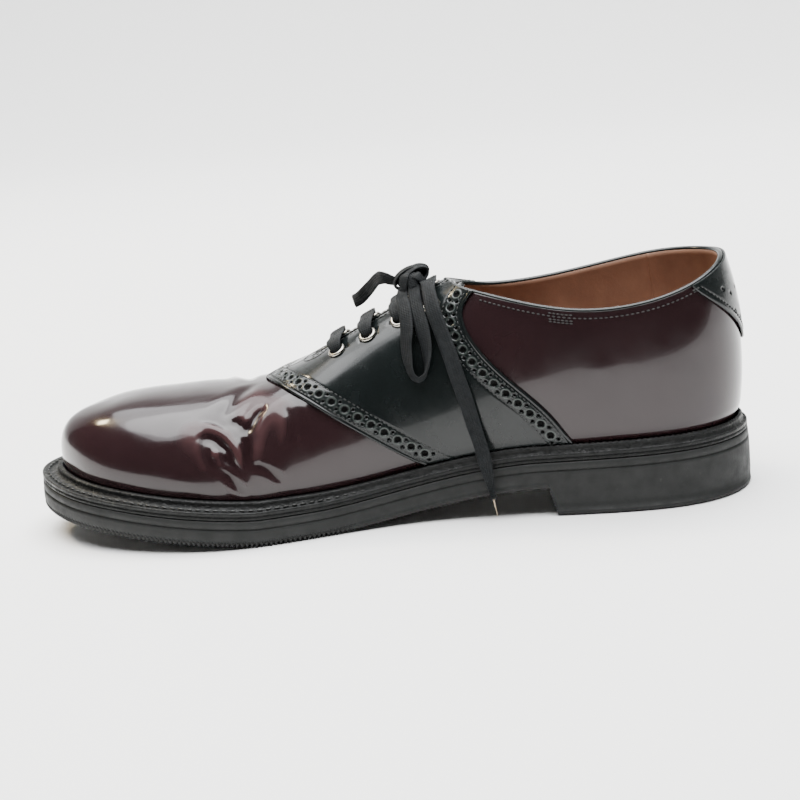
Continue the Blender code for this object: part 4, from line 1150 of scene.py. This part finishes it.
def make_collar_edge():
    places = np.linspace(-CORNER_OUTER, CORNER_INNER, 420)
    centres = wall_point(places, 1.0, -WALL / 2)
    outs = wall_normal(places, 1.0)
    rises = unit(np.cross(outs, unit(np.gradient(centres, axis=0))))
    turns = np.linspace(0, 2 * math.pi, 13)[None, :, None]
    across, along = COLLAR_ROLL
    ring = outs[:, None] * np.cos(turns) * across + rises[:, None] * np.sin(turns) * along
    edge = laid_grid("collar_edge", close_ends(centres[:, None] + ring), closed=True)
    dress(edge, BLACK, "black_leather")


def close_ends(rings):
    """Rings of points with one more at each end, drawn in to a point."""
    first = np.broadcast_to(rings[0].mean(0), rings[0].shape)[None]
    last = np.broadcast_to(rings[-1].mean(0), rings[-1].shape)[None]
    return np.concatenate([first, rings, last])


# The saddle, with the punched bands along its edges.


def band_place(front, outer, up, inset):
    """The place on the loop at a distance in from the saddle's back or front edge."""
    column, bends = (2, FRONT_BENDS) if front else (1, BACK_BENDS)

    def edge(at):
        return smooth_value(SADDLE[:, 0], SADDLE[:, column], bends, np.clip(at, 0, 1))

    section = edge(up)
    step = 0.01
    low, high = np.clip(up - step, 0, 1), np.clip(up + step, 0, 1)
    rise = wall_point(side_place(edge(high), outer), high) - wall_point(side_place(edge(low), outer), low)
    ahead = wall_point(side_place(section + step, outer), up)
    ahead = ahead - wall_point(side_place(section - step, outer), up)
    away = np.linalg.norm(np.cross(ahead, unit(rise)), axis=-1) / (2 * step)
    shift = np.asarray(inset) / np.maximum(away, LEAST_AWAY * np.linalg.norm(ahead, axis=-1) / (2 * step))
    return side_place(section + (-shift if front else shift), outer)


def row_along(places, ups, distance, pitch, start=0.0):
    """Points a pitch apart along a line on the shoe, with the directions along it and out of it."""
    points = wall_point(places, ups, distance)
    reach = reach_along(points)
    stops = np.arange(start, reach[-1], pitch)
    out = unit(sampled(stops, reach, wall_normal(places, ups)))
    ahead = sampled(stops + pitch / 4, reach, points) - sampled(stops - pitch / 4, reach, points)
    return sampled(stops, reach, points), unit(ahead), out


def band_holes(front, outer):
    """The centres and sizes of a band's punched holes: large ones, and pairs of small ones between them."""
    ups = np.linspace(1, 0.02, 300)
    line = band_place(front, outer, ups, BAND_MIDDLE)
    large = row_along(line, ups, SADDLE_TOP, HOLE_PITCH, HOLE_PITCH * HOLES_FROM)[0]
    between, aheads, outs = row_along(line, ups, SADDLE_TOP, HOLE_PITCH, HOLE_PITCH * (HOLES_FROM + 0.5))
    across = np.cross(aheads, outs) * PAIR_OFFSET
    small = np.concatenate([between - across, between + across])
    return [(centre, LARGE_HOLE) for centre in large] + [(centre, SMALL_HOLE) for centre in small]


def rolled(off, radius):
    """How far a sheet's edge is rolled down, by the distance from the edge."""
    return radius * (1 - np.sqrt(1 - np.clip(1 - off / radius, 0, 1) ** 2))


def make_saddle():
    insets = np.concatenate([SADDLE_EDGE_INSETS, np.arange(*SADDLE_BAND_INSETS)])
    ups = np.concatenate([np.linspace(0, SADDLE_TOP_SHARE, 256), np.linspace(SADDLE_TOP_SHARE, 1, 11)[1:]])
    halves = []
    for outer in (False, True):
        back = np.stack([band_place(False, outer, ups, inset) for inset in insets])
        front = np.stack([band_place(True, outer, ups, inset) for inset in insets[::-1]])
        between = np.linspace(0, 1, 26)[1:-1, None]
        place = np.concatenate([back, back[-1] + (front[0] - back[-1]) * between, front])
        wide = np.full(len(place) - 2 * len(insets), insets[-1])
        inset = np.concatenate([insets, wide, insets[::-1]])[:, None] + 0 * ups
        up = np.broadcast_to(ups, place.shape)
        height = -rolled(inset, EDGE_ROLL) - GROOVE_DEPTH * bell(inset - EDGE_GROOVE, GROOVE_WIDTH)
        for row in STITCH_INSETS:
            height -= SEAM_DEPTH * bell(inset - row, SEAM_WIDTH)
        height -= rolled((1 - up) * wall_height(place), EDGE_ROLL)
        surface = wall_point(place, up, SADDLE_TOP)
        hole, ring = np.zeros(place.shape), np.zeros(place.shape)
        for centre, radius in band_holes(False, outer) + band_holes(True, outer):
            off = np.linalg.norm(surface - centre, axis=-1)
            sunk = np.clip((radius + HOLE_SOFTNESS - off) / HOLE_SLOPE, 0, 1)
            rim = bell(off - radius - RIM_OFFSET, RIM_WIDTH)
            rim_height, rubbed = LARGE_RIM if radius == LARGE_HOLE else SMALL_RIM
            hole = np.maximum(hole, sunk)
            ring = np.maximum(ring, rim * rubbed)
            height = height - HOLE_DEPTH * sunk + rim_height * rim
        wave_height, length, seed = SADDLE_WAVES
        height = height + wave_height * ripple(surface, length, seed)
        surface = surface + wall_normal(place, up) * height[..., None]
        # The hole mark has the material paint the dips near black as painted shade, and pale the rims.
        hole = np.where(hole > 0.02, hole, -ring)
        order = slice(None, None, -1) if outer else slice(None)
        halves.append(laid_grid("saddle_half", surface[order], {"hole": hole[order]}))
    leather = joined("saddle_leather", halves)
    punch_eyelets(leather)
    thicken(leather, SADDLE_THICKNESS)
    dress(leather, BLACK, "black_leather", "saddle")


def heel_tab_drops(places):
    return HEEL_TAB_DROP * (1 - np.abs(places) / HEEL_TAB_REACH) ** HEEL_TAB_BEND


def make_heel_tab():
    places = np.linspace(-HEEL_TAB_REACH, HEEL_TAB_REACH, 150)
    drops = heel_tab_drops(places)
    up = 1 - drops[:, None] * np.linspace(1, 0, 56)
    place = np.broadcast_to(places[:, None], up.shape)
    surface = wall_point(place, up, HEEL_TAB_TOP)
    off = distance_to_line(surface, wall_point(places, 1 - drops, HEEL_TAB_TOP))[0]
    height = -rolled(off, HEEL_TAB_ROLL) - HEEL_SEAM_DEPTH * bell(off - HEEL_TAB_SEAM, SEAM_WIDTH)
    hole = np.zeros(place.shape)
    for section, share in HEEL_TAB_HOLES:
        for sign in (-1, 1):
            off = np.linalg.norm(surface - wall_point(sign * section, share, HEEL_TAB_TOP), axis=-1)
            sunk = np.clip((HEEL_TAB_HOLE - off) / HEEL_HOLE_SLOPE, 0, 1)
            hole = np.maximum(hole, sunk)
            height = height - HEEL_HOLE_DEPTH * sunk
    surface = surface + wall_normal(place, up) * height[..., None]
    # The hole mark has the material paint the holes' dips near black as painted shade.
    tab = laid_grid("heel_tab_leather", surface, {"hole": hole})
    thicken(tab, HEEL_TAB_THICKNESS)
    dress(tab, BLACK, "black_leather", "heel_tab")


def make_tongue():
    sections = np.linspace(TONGUE_FROM, TONGUE_TO, 70)
    sides = []
    for outer in (True, False):
        place, reach = np.meshgrid(side_place(sections, outer), np.linspace(0, 1, 16), indexing="ij")
        share = 1 - TONGUE_REACH * reach
        out = turn_to_part(last_normal(place, share))
        point = to_part(last_point(place, share)) - out * (WALL + TONGUE_GAP)
        point[:, 0, 0] = around("crest_side", TONGUE_FROM) * BALL_WIDTH - MIDDLE_SIDE
        sides.append(point)
    sides[0][:, 0] = sides[1][:, 0] = (sides[0][:, 0] + sides[1][:, 0]) / 2
    surface = np.concatenate([sides[0][:, ::-1], sides[1][:, 1:]], 1)
    tongue = laid_grid("tongue_leather", surface[::-1])
    thicken(tongue, TONGUE_THICKNESS)
    dress(tongue, TONGUE_BLACK, "black_leather", "tongue")


# Stitches: one is modelled, and the others are its copies.


def copies(name, size, rows, material):
    """Stitches of one size on rows of centres, with the directions ahead of and out of each."""
    bpy.ops.object.select_all(action="DESELECT")
    bpy.ops.mesh.primitive_uv_sphere_add(segments=6, ring_count=4, radius=0.5, rotation=(0, math.pi / 2, 0))
    stitch = bpy.context.object
    bpy.ops.object.transform_apply(location=False, rotation=True, scale=False)
    vertices = np.array([vertex.co for vertex in stitch.data.vertices]) * size
    faces = [list(face.vertices) for face in stitch.data.polygons]
    centres, aheads, outs = (np.concatenate(parts) for parts in zip(*rows))
    sides = unit(np.cross(outs, aheads))
    axes = np.stack([aheads, sides, unit(np.cross(aheads, sides))], 1)
    placed = (centres[:, None] + vertices @ axes).reshape(-1, 3)
    shifts = range(0, len(placed), len(vertices))
    polygons = [[index + shift for index in face] for shift in shifts for face in faces]
    mesh = bpy.data.meshes.new(name)
    mesh.from_pydata(placed.tolist(), [], polygons)
    bpy.data.objects.remove(stitch)
    piece = added(bpy.data.objects.new(name, mesh))
    select_only(piece)
    bpy.ops.object.shade_smooth()
    dress(piece, material, None)


def throat_stitches():
    """A horseshoe of stitches round the end of the slit and a bar tack across it."""
    crest = around("crest", THROAT_SECTION) * SOLE_LENGTH
    middle = around("crest_side", THROAT_SECTION) * BALL_WIDTH
    centre = to_part(np.array([crest, middle, 0.0]))
    turns = np.linspace(-HORSESHOE_TURN, HORSESHOE_TURN, 160) * math.pi
    lines = [(np.stack([HORSESHOE[0] * np.sin(turns), -HORSESHOE[1] * np.cos(turns)], -1) + centre[:2], 3)]
    across = np.linspace(-BAR_TACK_REACH, BAR_TACK_REACH, 12)
    lines += [(np.stack([across, np.full(12, off)], -1) + centre[:2], 4) for off in BAR_TACK]
    searched = np.linspace(*THROAT_SECTIONS, 240), np.linspace(*THROAT_UPS, 160)
    sections, ups = np.meshgrid(*searched, indexing="ij")
    places = np.stack([side_place(sections, outer) for outer in (False, True)])
    heights = np.stack([ups, ups])
    surface = wall_point(places, heights, SADDLE_TOP).reshape(-1, 3)
    outs = wall_normal(places, heights).reshape(-1, 3)
    rows = []
    for line, step in lines:
        nearest = [int(np.argmin(((surface[:, :2] - target) ** 2).sum(1))) for target in line]
        found = np.concatenate([line, surface[nearest, 2:]], 1)
        stops = np.arange(0, len(line) - 1, step)
        rows.append((found[stops], unit(found[stops + 1] - found[stops]), outs[nearest][stops]))
    return rows


def make_leather_stitches():
    rows = []
    ups = np.linspace(*STITCHED_UPS, 300)
    for outer in (False, True):
        for front in (False, True):
            for inset in STITCH_INSETS:
                line = band_place(front, outer, ups, inset)
                rows.append(row_along(line, ups, SADDLE_TOP - STITCH_SUNK, STITCH_PITCH))
    for sign in (1, -1):
        places = sign * np.linspace(*TOPLINE_SECTIONS, 260)
        rows.append(row_along(places, 1 - TOPLINE_DROP / wall_height(places), STITCH_LIFT, STITCH_PITCH))
    places = np.linspace(-HEEL_TAB_REACH, HEEL_TAB_REACH, 300)
    heights = wall_height(places)
    low = np.maximum(heel_tab_drops(places) - HEEL_ROW_INSET / heights, HEEL_ROW_LEAST / heights)
    rows.append(row_along(places, 1 - low, HEEL_TAB_TOP, STITCH_PITCH))
    for outer in (False, True):
        places = side_place(np.linspace(CORNER_OUTER if outer else CORNER_INNER, THROAT_SECTION, 200), outer)
        share = slit_share(places, FACING_GAP / 2 + FACING_ROW)
        kept = share < collar_share(places) - 0.01
        share, places = share[kept], places[kept]
        low = np.interp(places % LOOP_ROWS, TOP_PLACES, RIB_TABLE)
        top = np.interp(places % LOOP_ROWS, TOP_PLACES, TOP_TABLE)
        rows.append(row_along(places, (share - low) / (top - low), SADDLE_TOP, STITCH_PITCH))
    rows += throat_stitches()
    for sign in (1, -1):
        for drop in TACK_DROPS:
            places = sign * np.linspace(*TOPLINE_TACK, 60)
            rows.append(row_along(places, 1 - drop / wall_height(places), STITCH_LIFT, TACK_PITCH))
    copies("leather_stitches", STITCH_SIZE, rows, THREAD)


def make_welt_stitches():
    edge, inwards = edge_frame(np.linspace(0, LOOP_ROWS, 1500))
    level = edge + inwards * WELT_STITCH_INSET
    points = to_part(np.concatenate([level, (sole_top(level[:, 0]) + GAP + WELT_THICKNESS)[:, None]], -1))
    reach = reach_along(points)
    stops = np.arange(0, reach[-1] - WELT_STITCH_END, WELT_STITCH_PITCH)
    found = sampled(stops, reach, points)
    ahead = sampled((stops + WELT_STITCH_AHEAD) % reach[-1], reach, points)
    ups = np.broadcast_to([0.0, 0.0, 1.0], found.shape)
    copies("welt_stitches", WELT_STITCH_SIZE, [(found, unit(ahead - found), ups)], WELT_THREAD)


# Welt and sole.


def loop_places(step):
    """Places round the whole sole's edge, evenly spaced along it."""
    places = np.linspace(0, LOOP_ROWS, 6000)
    reach = reach_along(edge_frame(places)[0])
    return np.interp(np.linspace(0, reach[-1], round(reach[-1] / step) + 1), reach, places)


def wall_inset(place, share):
    edge, inwards = edge_frame(place)
    return ((last_point(place, share)[..., :2] - edge) * inwards).sum(-1)


def make_welt():
    places = loop_places(WELT_STEP)
    places[-1] = places[0]
    edge, inwards = edge_frame(places)
    rib = wall_inset(places, np.interp(places, TOP_PLACES, RIB_TABLE)) - GAP
    foot = wall_inset(places, 0.0) - GAP
    flat = np.maximum(rib - RIB_WIDTH - RIB_BULGE, WELT_SETBACK + LEAST_FLAT)
    stands = {"rib": rib, "foot": foot, "between": (rib + foot) / 2, "flat": flat}
    stands["under"] = around("welt", places) * WELT_WIDTH + WELT_UNDER
    count = np.arange(len(places))
    wheel = (0.5 + 0.5 * np.cos(2 * math.pi * count / WELT_WHEEL_STEP)) * (count < len(places) - 1)
    rings = []
    for stand, ahead, height, rise, wheeled in WELT_ROWS:
        if stand in stands:
            inset = stands[stand] + ahead
        else:
            inset = WELT_SETBACK + (flat - WELT_SETBACK) * stand + ahead
        level = edge + inwards * inset[:, None]
        top = sole_top(level[:, 0]) + GAP + height + rise * RIB_HEIGHT - wheeled * wheel
        rings.append(to_part(np.concatenate([level, top[:, None]], -1)))
    welt = laid_grid("welt_strip", np.stack(rings, 1), closed=True)
    dress(welt, WELTING, "black_welting", "welt")


def make_outsole():
    places = loop_places(SOLE_STEP)
    half = places[places <= LAST_ROW]
    along = around("along", half) * SOLE_LENGTH
    fine = (along > SOLE_FINE_FROM * SOLE_LENGTH) | (np.arange(len(half)) % 3 == 0)
    slant = np.interp([HEEL_LENGTH - HEEL_BREAST_SLANT, HEEL_LENGTH], along, half)
    sections = np.unique(np.concatenate([half[fine], slant, [0.0, float(LAST_ROW)]]))
    sections = sections[(sections <= slant[0]) | (sections >= slant[1])]
    reach = np.interp(sections, half, np.arange(len(half)) * SOLE_STEP)
    share = around("along", sections)
    toothed = np.clip((share - TEETH_FROM) / TEETH_FADE, 0, 1) * (np.floor(reach / (TOOTH_PITCH / 2)) % 2)
    in_heel = sections <= slant[0]

    def height_at(stand, value, reached):
        under = np.where(in_heel, 0.0, sole_seat(reached))
        if stand == "bottom":
            return under + value + (TOE_LIP * toothed if value > 0 else 0.0)
        if stand == "top":
            return sole_top(reached) - value
        low = under + SOLE_SIDE_FROM
        return low + (sole_top(reached) - SOLE_SIDE_TO - low) * value

    sides = []
    for outer in (False, True):
        edge, inwards = edge_frame(side_place(sections, outer))
        rows = []
        for inset, tooth, stand, value, _ in SOLE_ROWS:
            level = edge + inwards * (inset + tooth * toothed)[:, None]
            rows.append(to_part(np.concatenate([level, height_at(stand, value, level[:, 0])[:, None]], -1)))
        sides.append(np.stack(rows, 1))
    middle_low = (sides[0][:, :1] + sides[1][:, :1]) / 2
    middle_top = (sides[0][:, -1:] + sides[1][:, -1:]) / 2
    ring = np.concatenate([middle_low, sides[0], middle_top, sides[1][:, ::-1], middle_low], 1)
    # The rows in the recess under the ledge are marked to be darkened with painted shade.
    dark = [row[-1] for row in SOLE_ROWS]
    marks = np.array([0, *dark, 0, *dark[::-1], 0], float) + 0 * ring[..., 0]
    sole = laid_grid("outsole_moulding", ring, {"ledge_groove_shade": marks}, closed=True)
    dress(sole, RUBBER, "dark_grey_rubber", "outsole")


# Eyelets and laces.


def make_eyelets():
    profile = np.array(EYELET_PROFILE + EYELET_PROFILE[:1])
    turns = np.linspace(0, 2 * math.pi, 33)
    for name, centre, out in EYELETS:
        ahead = unit(np.array([0.0, -1.0, 0.0]) - out * -out[1])
        side = np.cross(ahead, out)
        radial = np.cos(turns)[:, None] * ahead + np.sin(turns)[:, None] * side
        rings = centre + radial[:, None] * profile[None, :, :1] + out * profile[None, :, 1:]
        eyelet = laid_grid(f"nickel_eyelet_{name}", rings, closed=True)
        dress(eyelet, NICKEL, "nickel_plated_brass", f"eyelet_{name}")


def ribbon_rings(centres, flats, widths):
    """Rings of points round a flat lace: each lies across the lace, with ribs along it."""
    across = np.linspace(-1, 1, LACE_POINTS)
    crown = (1 - across**4) ** 0.5 * (1 + LACE_RIB_DEPTH * np.cos(across * math.pi * LACE_RIBS))
    outline = np.concatenate([np.stack([across, crown], -1), np.stack([across, -crown], -1)[::-1]])
    aheads = unit(np.gradient(centres, axis=0))
    flats = unit(flats - (flats * aheads).sum(-1, keepdims=True) * aheads)
    sides = np.cross(aheads, flats)
    widths = np.broadcast_to(widths, len(centres))
    thicks = LACE_THICKNESS * (LACE_WIDTH / np.maximum(widths, LACE_WIDTH * LACE_NARROWEST)) ** LACE_BUNCHING
    thicks = np.minimum(thicks, np.maximum(widths, LACE_TIP))
    rings = (
        centres[:, None] + sides[:, None] * (outline[:, 0] * widths[:, None] / 2)[..., None]
        + flats[:, None] * (outline[:, 1] * thicks[:, None] / 2)[..., None]
    )
    weave = np.zeros(rings.shape)
    weave[..., 0] = reach_along(centres)[:, None]
    weave[..., 1] = outline[:, 0] * LACE_WIDTH / 2
    return rings, weave


def lace_piece(name, centres, flats, widths):
    rings, weave = ribbon_rings(centres, flats, widths)
    weave = np.concatenate([weave[:1], weave, weave[-1:]])
    return laid_grid(name, close_ends(rings), {"weave": weave}, closed=True)


def spread(values, count):
    """Values given at even steps along a line, at each of its points."""
    return np.interp(np.linspace(0, 1, count), np.linspace(0, 1, len(values)), values)


def lying_flats(centres, turns):
    """The way a lace's flat side faces: out from the shoe, then turned by angles given along the lace."""
    aheads = unit(np.gradient(centres, axis=0))
    away = centres - np.array([SLIT_MIDDLE, 0.0, LACE_AXIS_HEIGHT])
    away[:, 1] = 0.0
    flats = unit(away - (away * aheads).sum(-1, keepdims=True) * aheads)
    angles = np.radians(spread(turns, len(centres)))[:, None]
    return flats * np.cos(angles) + np.cross(aheads, flats) * np.sin(angles)


def tip_thread():
    """A loose thread at the worn tip of the long end."""
    centres = smooth_line(TIP_THREAD, TIP_THREAD_STEP)
    turns = np.linspace(0, 2 * math.pi, 9)
    ring = np.stack([np.cos(turns), np.sin(turns), 0 * turns], -1) * TIP_THREAD_RADIUS
    rings = centres[:, None] + ring[None] * np.linspace(1, 0.3, len(centres))[:, None, None]
    thread = laid_grid("lace_tip_thread", close_ends(rings), closed=True)
    dress(thread, TIP_LINEN, "black_cotton")
    return thread


def make_free_laces():
    for name, route, turns, widths, facts in FREE_LACES:
        centres = smooth_line(route, LACE_STEP)
        widths = spread(widths, len(centres))
        piece = lace_piece(f"{name}_ribbon", centres, lying_flats(centres, turns), widths)
        dress(piece, COTTON, "black_cotton", name)
        on_it = [tip_thread()] if name == "lace_end_inner" else []


def make_lace_bars():
    for number in range(EYELET_COUNT):
        marks = [(False, *mark) for mark in BAR_MARKS] + [(True, *mark) for mark in BAR_MARKS[::-1]]
        points, outs = zip(*(beside_slit_frame(number, *mark[:-1]) for mark in marks))
        centres = smooth_line(points, BAR_STEP)
        flats = np.stack([spread(column, len(centres)) for column in np.array(outs).T], -1)
        widths = spread([mark[-1] for mark in marks], len(centres))
        bar = lace_piece(f"lace_crossing_{number + 1}", centres, flats, widths)
        dress(bar, COTTON, "black_cotton", f"lace_bar_{number + 1}")


def make_knot():
    """Wraps round the middle, ribbons that lead from there to the free laces, and a core that closes it."""
    low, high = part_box("lace_knot")
    centre = (np.array(low) + np.array(high)) / 2
    out = unit(np.array(KNOT_OUT))
    side = unit(np.array([1.0, 0.0, 0.0]) - out * out[0])
    ahead = np.cross(out, side)
    turns = np.linspace(0, 2 * math.pi, 61)[:, None]
    wraps = []
    for turn, reach_ahead, reach_out, width, shift in KNOT_WRAPS:
        around_by = math.radians(turn)
        across = side * math.cos(around_by) + ahead * math.sin(around_by)
        through = np.cross(out, across)
        flats = np.cos(turns) * through * reach_out + np.sin(turns) * out * reach_ahead
        centres = centre + across * shift + np.cos(turns) * through * reach_ahead
        centres = centres + np.sin(turns) * out * reach_out
        rings, weave = ribbon_rings(centres, flats, width)
        rings[-1] = rings[0]
        wraps.append(laid_grid("knot_wrap", rings, {"weave": weave}, closed=True))
    bpy.ops.object.select_all(action="DESELECT")
    bpy.ops.mesh.primitive_uv_sphere_add(segments=24, ring_count=14, radius=1.0)
    core = bpy.context.object
    for vertex in core.data.vertices:
        across, forwards, upwards = (part * size for part, size in zip(vertex.co, KNOT_CORE))
        vertex.co = Vector(centre + side * across + ahead * forwards + out * upwards)
    bpy.ops.object.shade_smooth()
    for route in (INNER_LOOP_ROUTE[:2], INNER_LOOP_ROUTE[:-3:-1], INNER_END_ROUTE[:2]):
        start = np.array(route[0]) + (np.array(route[1]) - route[0]) * KNOT_TUCK_INTO
        over = centre + KNOT_TUCK_OVER + (0.0, (start[1] - centre[1]) * 0.5, 0.0)
        centres = smooth_line([centre + KNOT_TUCK_FROM, over, start], KNOT_STEP)
        widths = spread(KNOT_TUCK_WIDTHS, len(centres))
        wraps.append(lace_piece("knot_tuck", centres, lying_flats(centres, KNOT_TUCK_TURNS), widths))
    knot = joined("lace_knot_wraps", wraps + [core])
    dress(knot, COTTON, "black_cotton", "lace_knot")


# The studio and the camera.


def make_floor():
    """A sheet of paper that lies under the shoe and is swept up behind it."""
    turns = np.linspace(0, math.pi / 2, 12)[1:]
    swept, risen = SWEEP_START - SWEEP_RADIUS * np.sin(turns), SWEEP_RADIUS * (1 - np.cos(turns))
    along_floor = np.array([FLOOR_NEAR, 0.0, SWEEP_START, *swept, SWEEP_START - SWEEP_RADIUS])
    heights = np.array([0.0, 0.0, 0.0, *risen, SWEEP_TOP]) - FLOOR_BELOW
    rows = [np.stack([along_floor, 0 * heights + side, heights], -1) for side in (FLOOR_WIDE, -FLOOR_WIDE)]
    floor = laid_grid("floor", np.stack(rows))
    floor.data.materials.append(paper_floor())


def make_lights():
    for name, place, aim, size, power, tint in LAMPS:
        light = bpy.data.lights.new(name, "AREA")
        light.shape = "RECTANGLE"
        light.size, light.size_y = size
        light.energy = power
        light.color = colour(tint)[:3]
        lamp = added(bpy.data.objects.new(name, light))
        lamp.location = place
        lamp.rotation_euler = (Vector(aim) - Vector(place)).to_track_quat("-Z", "Y").to_euler()
    glow = bpy.data.lights.new("ceiling_glow", "SUN")
    glow.energy = SUN_STRENGTH
    glow.angle = math.radians(SUN_SPREAD)
    added(bpy.data.objects.new("ceiling_glow", glow))
    world = bpy.data.worlds.new("dim_room")
    world.use_nodes = True
    background = world.node_tree.nodes["Background"]
    background.inputs["Color"].default_value = colour(WORLD_COLOUR)
    background.inputs["Strength"].default_value = WORLD_STRENGTH
    bpy.context.scene.world = world


def make_camera():
    ahead = (Vector(CAMERA_AIM) - Vector(CAMERA_PLACE)).normalized()
    right = ahead.cross(Vector((0.0, 0.0, 1.0))).normalized()
    up = right.cross(ahead)
    roll = math.radians(CAMERA_ROLL)
    turned_right = right * math.cos(roll) + up * math.sin(roll)
    turned_up = up * math.cos(roll) - right * math.sin(roll)
    lens = bpy.data.cameras.new("camera")
    lens.lens = CAMERA_LENS
    lens.sensor_width = CAMERA_SENSOR
    camera = added(bpy.data.objects.new("camera", lens))
    camera.matrix_world = Matrix((turned_right, turned_up, -ahead)).transposed().to_4x4()
    camera.location = CAMERA_PLACE
    bpy.context.scene.camera = camera


make_camera()
make_floor()
make_lights()
make_free_laces()
make_leather()
make_lining()
make_collar_edge()
make_saddle()
make_heel_tab()
make_tongue()
make_leather_stitches()
make_welt_stitches()
make_welt()
make_outsole()
make_eyelets()
make_lace_bars()
make_knot()
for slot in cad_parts["insole"].material_slots:
    slot.material = INSOLE
